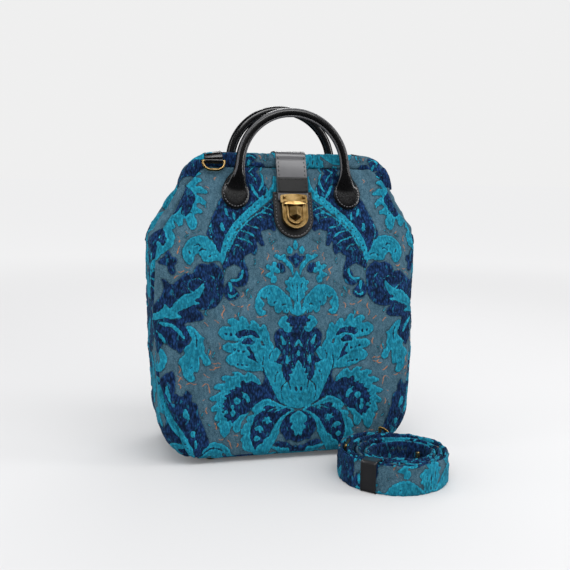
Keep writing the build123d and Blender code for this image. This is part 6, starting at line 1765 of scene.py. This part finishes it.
def makeMetal(name, bright, worn, rough):
    # Cast and plated metal: soft gloss, darker where it has tarnished
    material, tree = newMaterial(name)
    coords = addNode(tree, "ShaderNodeTexCoord").outputs["Object"]
    patches = addNode(tree, "ShaderNodeTexNoise", None, {
        "Vector": coords, "Scale": 160.0, "Detail": 4.0}).outputs["Fac"]
    fine = addNode(tree, "ShaderNodeTexNoise", None, {
        "Vector": coords, "Scale": 1400.0, "Detail": 2.0}).outputs["Fac"]
    share = addNode(tree, "ShaderNodeMapRange", None, {
        "Value": patches, "From Min": 0.35, "From Max": 0.7}).outputs[0]
    colour = addNode(tree, "ShaderNodeMix", {"data_type": "RGBA"}, {
        0: share, 6: linear(bright), 7: linear(worn)}).outputs[2]
    roughness = addNode(tree, "ShaderNodeMapRange", None, {
        "Value": patches, "To Min": rough - 0.07, "To Max": rough + 0.12}).outputs[0]
    bump = addNode(tree, "ShaderNodeBump", None, {
        "Height": fine, "Strength": 0.08, "Distance": 0.0002}).outputs[0]
    shader = addNode(tree, "ShaderNodeBsdfPrincipled", None, {
        "Base Color": colour, "Metallic": 1.0, "Roughness": roughness, "Normal": bump})
    finishMaterial(tree, shader)
    return material


def makeMatt(name, light, dark, scale, rough=0.8):
    # Plain woven, twisted or fibrous stuff with a fine mottle
    material, tree = newMaterial(name)
    coords = addNode(tree, "ShaderNodeTexCoord").outputs["Object"]
    mottle = addNode(tree, "ShaderNodeTexNoise", None, {
        "Vector": coords, "Scale": scale, "Detail": 3.0}).outputs["Fac"]
    colour = addNode(tree, "ShaderNodeMix", {"data_type": "RGBA"}, {
        0: mottle, 6: linear(dark), 7: linear(light)}).outputs[2]
    bump = addNode(tree, "ShaderNodeBump", None, {
        "Height": mottle, "Strength": 0.3, "Distance": 0.0003}).outputs[0]
    shader = addNode(tree, "ShaderNodeBsdfPrincipled", None, {
        "Base Color": colour, "Roughness": rough, "Normal": bump})
    finishMaterial(tree, shader)
    return material


makeCamera()
makeFloor()
makeLight()
tapestry = makeTapestry()
blackLeather = makeLeather("black_waxed_leather", "#111113", "#060607", 0.27, 1500.0, 0.8)
# the closure strap's black leather is given a mid-grey colour: painted highlight for the broad reflection of the
# top light along it
highlightStrapLeather = makeLeather("black_leather_painted_highlight", "#5C5C5F", "#4E4E51", 0.36, 1500.0, 1.0)
endLeather = makeLeather("black_matt_leather", "#19191B", "#0F0F10", 0.46, 1500.0, 0.15)
# the keeper's black leather is made dark grey: painted highlight in place of the light it catches
keeperLeatherPaintedLight = makeLeather("black_keeper_leather_painted_highlight", "#2C2C2E", "#222224", 0.32, 1500.0, 0.8)
# grey leather for the handles' welts: painted highlight for the bright lines along the rolled edges
weltHighlightLeather = makeLeather("leather_welt_painted_highlight", "#57575A", "#434346", 0.42, 1500.0, 0.4)
agedBrass = makeMetal("aged_brass", "#D2B077", "#8C6D3A", 0.33)
steel = makeMetal("cold_rolled_steel", "#9A9C9F", "#6E7073", 0.42)
lining = makeMatt("cotton_lining", "#2A3550", "#1B2338", 1500.0)
board = makeMatt("grey_board", "#8A8378", "#6F695F", 700.0)
thread = makeMatt("waxed_thread", "#76767A", "#4A4A4D", 2500.0, 0.35)
darkThread = makeMatt("black_thread", "#171718", "#0C0C0D", 2500.0, 0.5)
fields = drawDamask()
print("damask drawn")
makePanel("front_cloth", -1, fields, tapestry, ("front_panel", "pile_teal_front", "pile_navy_front"), 3)
makePanel("back_cloth", 1, fields, tapestry, ("back_panel", "pile_teal_back", "pile_navy_back"), 13)
makeGusset("side_cloth_left", False, fields, tapestry, 23)
makeGusset("side_cloth_right", True, fields, tapestry, 33)
makeBase(fields, tapestry)
makeSleeve("mouth_sleeve_front", -1, fields, tapestry, 43, ("sleeve_front",))
makeSleeve("mouth_sleeve_back", 1, fields, tapestry, 53, ("sleeve_back",))
makeHandle("handle_leather_front", -1, blackLeather, weltHighlightLeather, thread, ("handle_front",))
makeHandle("handle_leather_back", 1, blackLeather, weltHighlightLeather, thread, ("handle_back",))
makeClosure(highlightStrapLeather, endLeather, darkThread)
makeLockPatch(endLeather, thread)
makeLock(agedBrass)
makeRingTabs(blackLeather, thread)
makeStrap(fields, tapestry)
makeKeeper(keeperLeatherPaintedLight)
makeSlide(agedBrass)

# CAD nodes that keep their own shape get their finish here
for name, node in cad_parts.items():
    if name.startswith(("frame_bow", "frame_rivet", "lock_spring", "lock_back")):
        finish = steel
    elif "hook" in name or name.startswith(
            ("lock_b", "tongue", "foot", "strap_slider", "ring_front", "ring_back", "ring_low")):
        finish = agedBrass
    elif name.startswith("lining"):
        finish = lining
    elif name.startswith("base_board"):
        finish = board
    else:
        finish = blackLeather
    node.data.materials.clear()
    node.data.materials.append(finish)
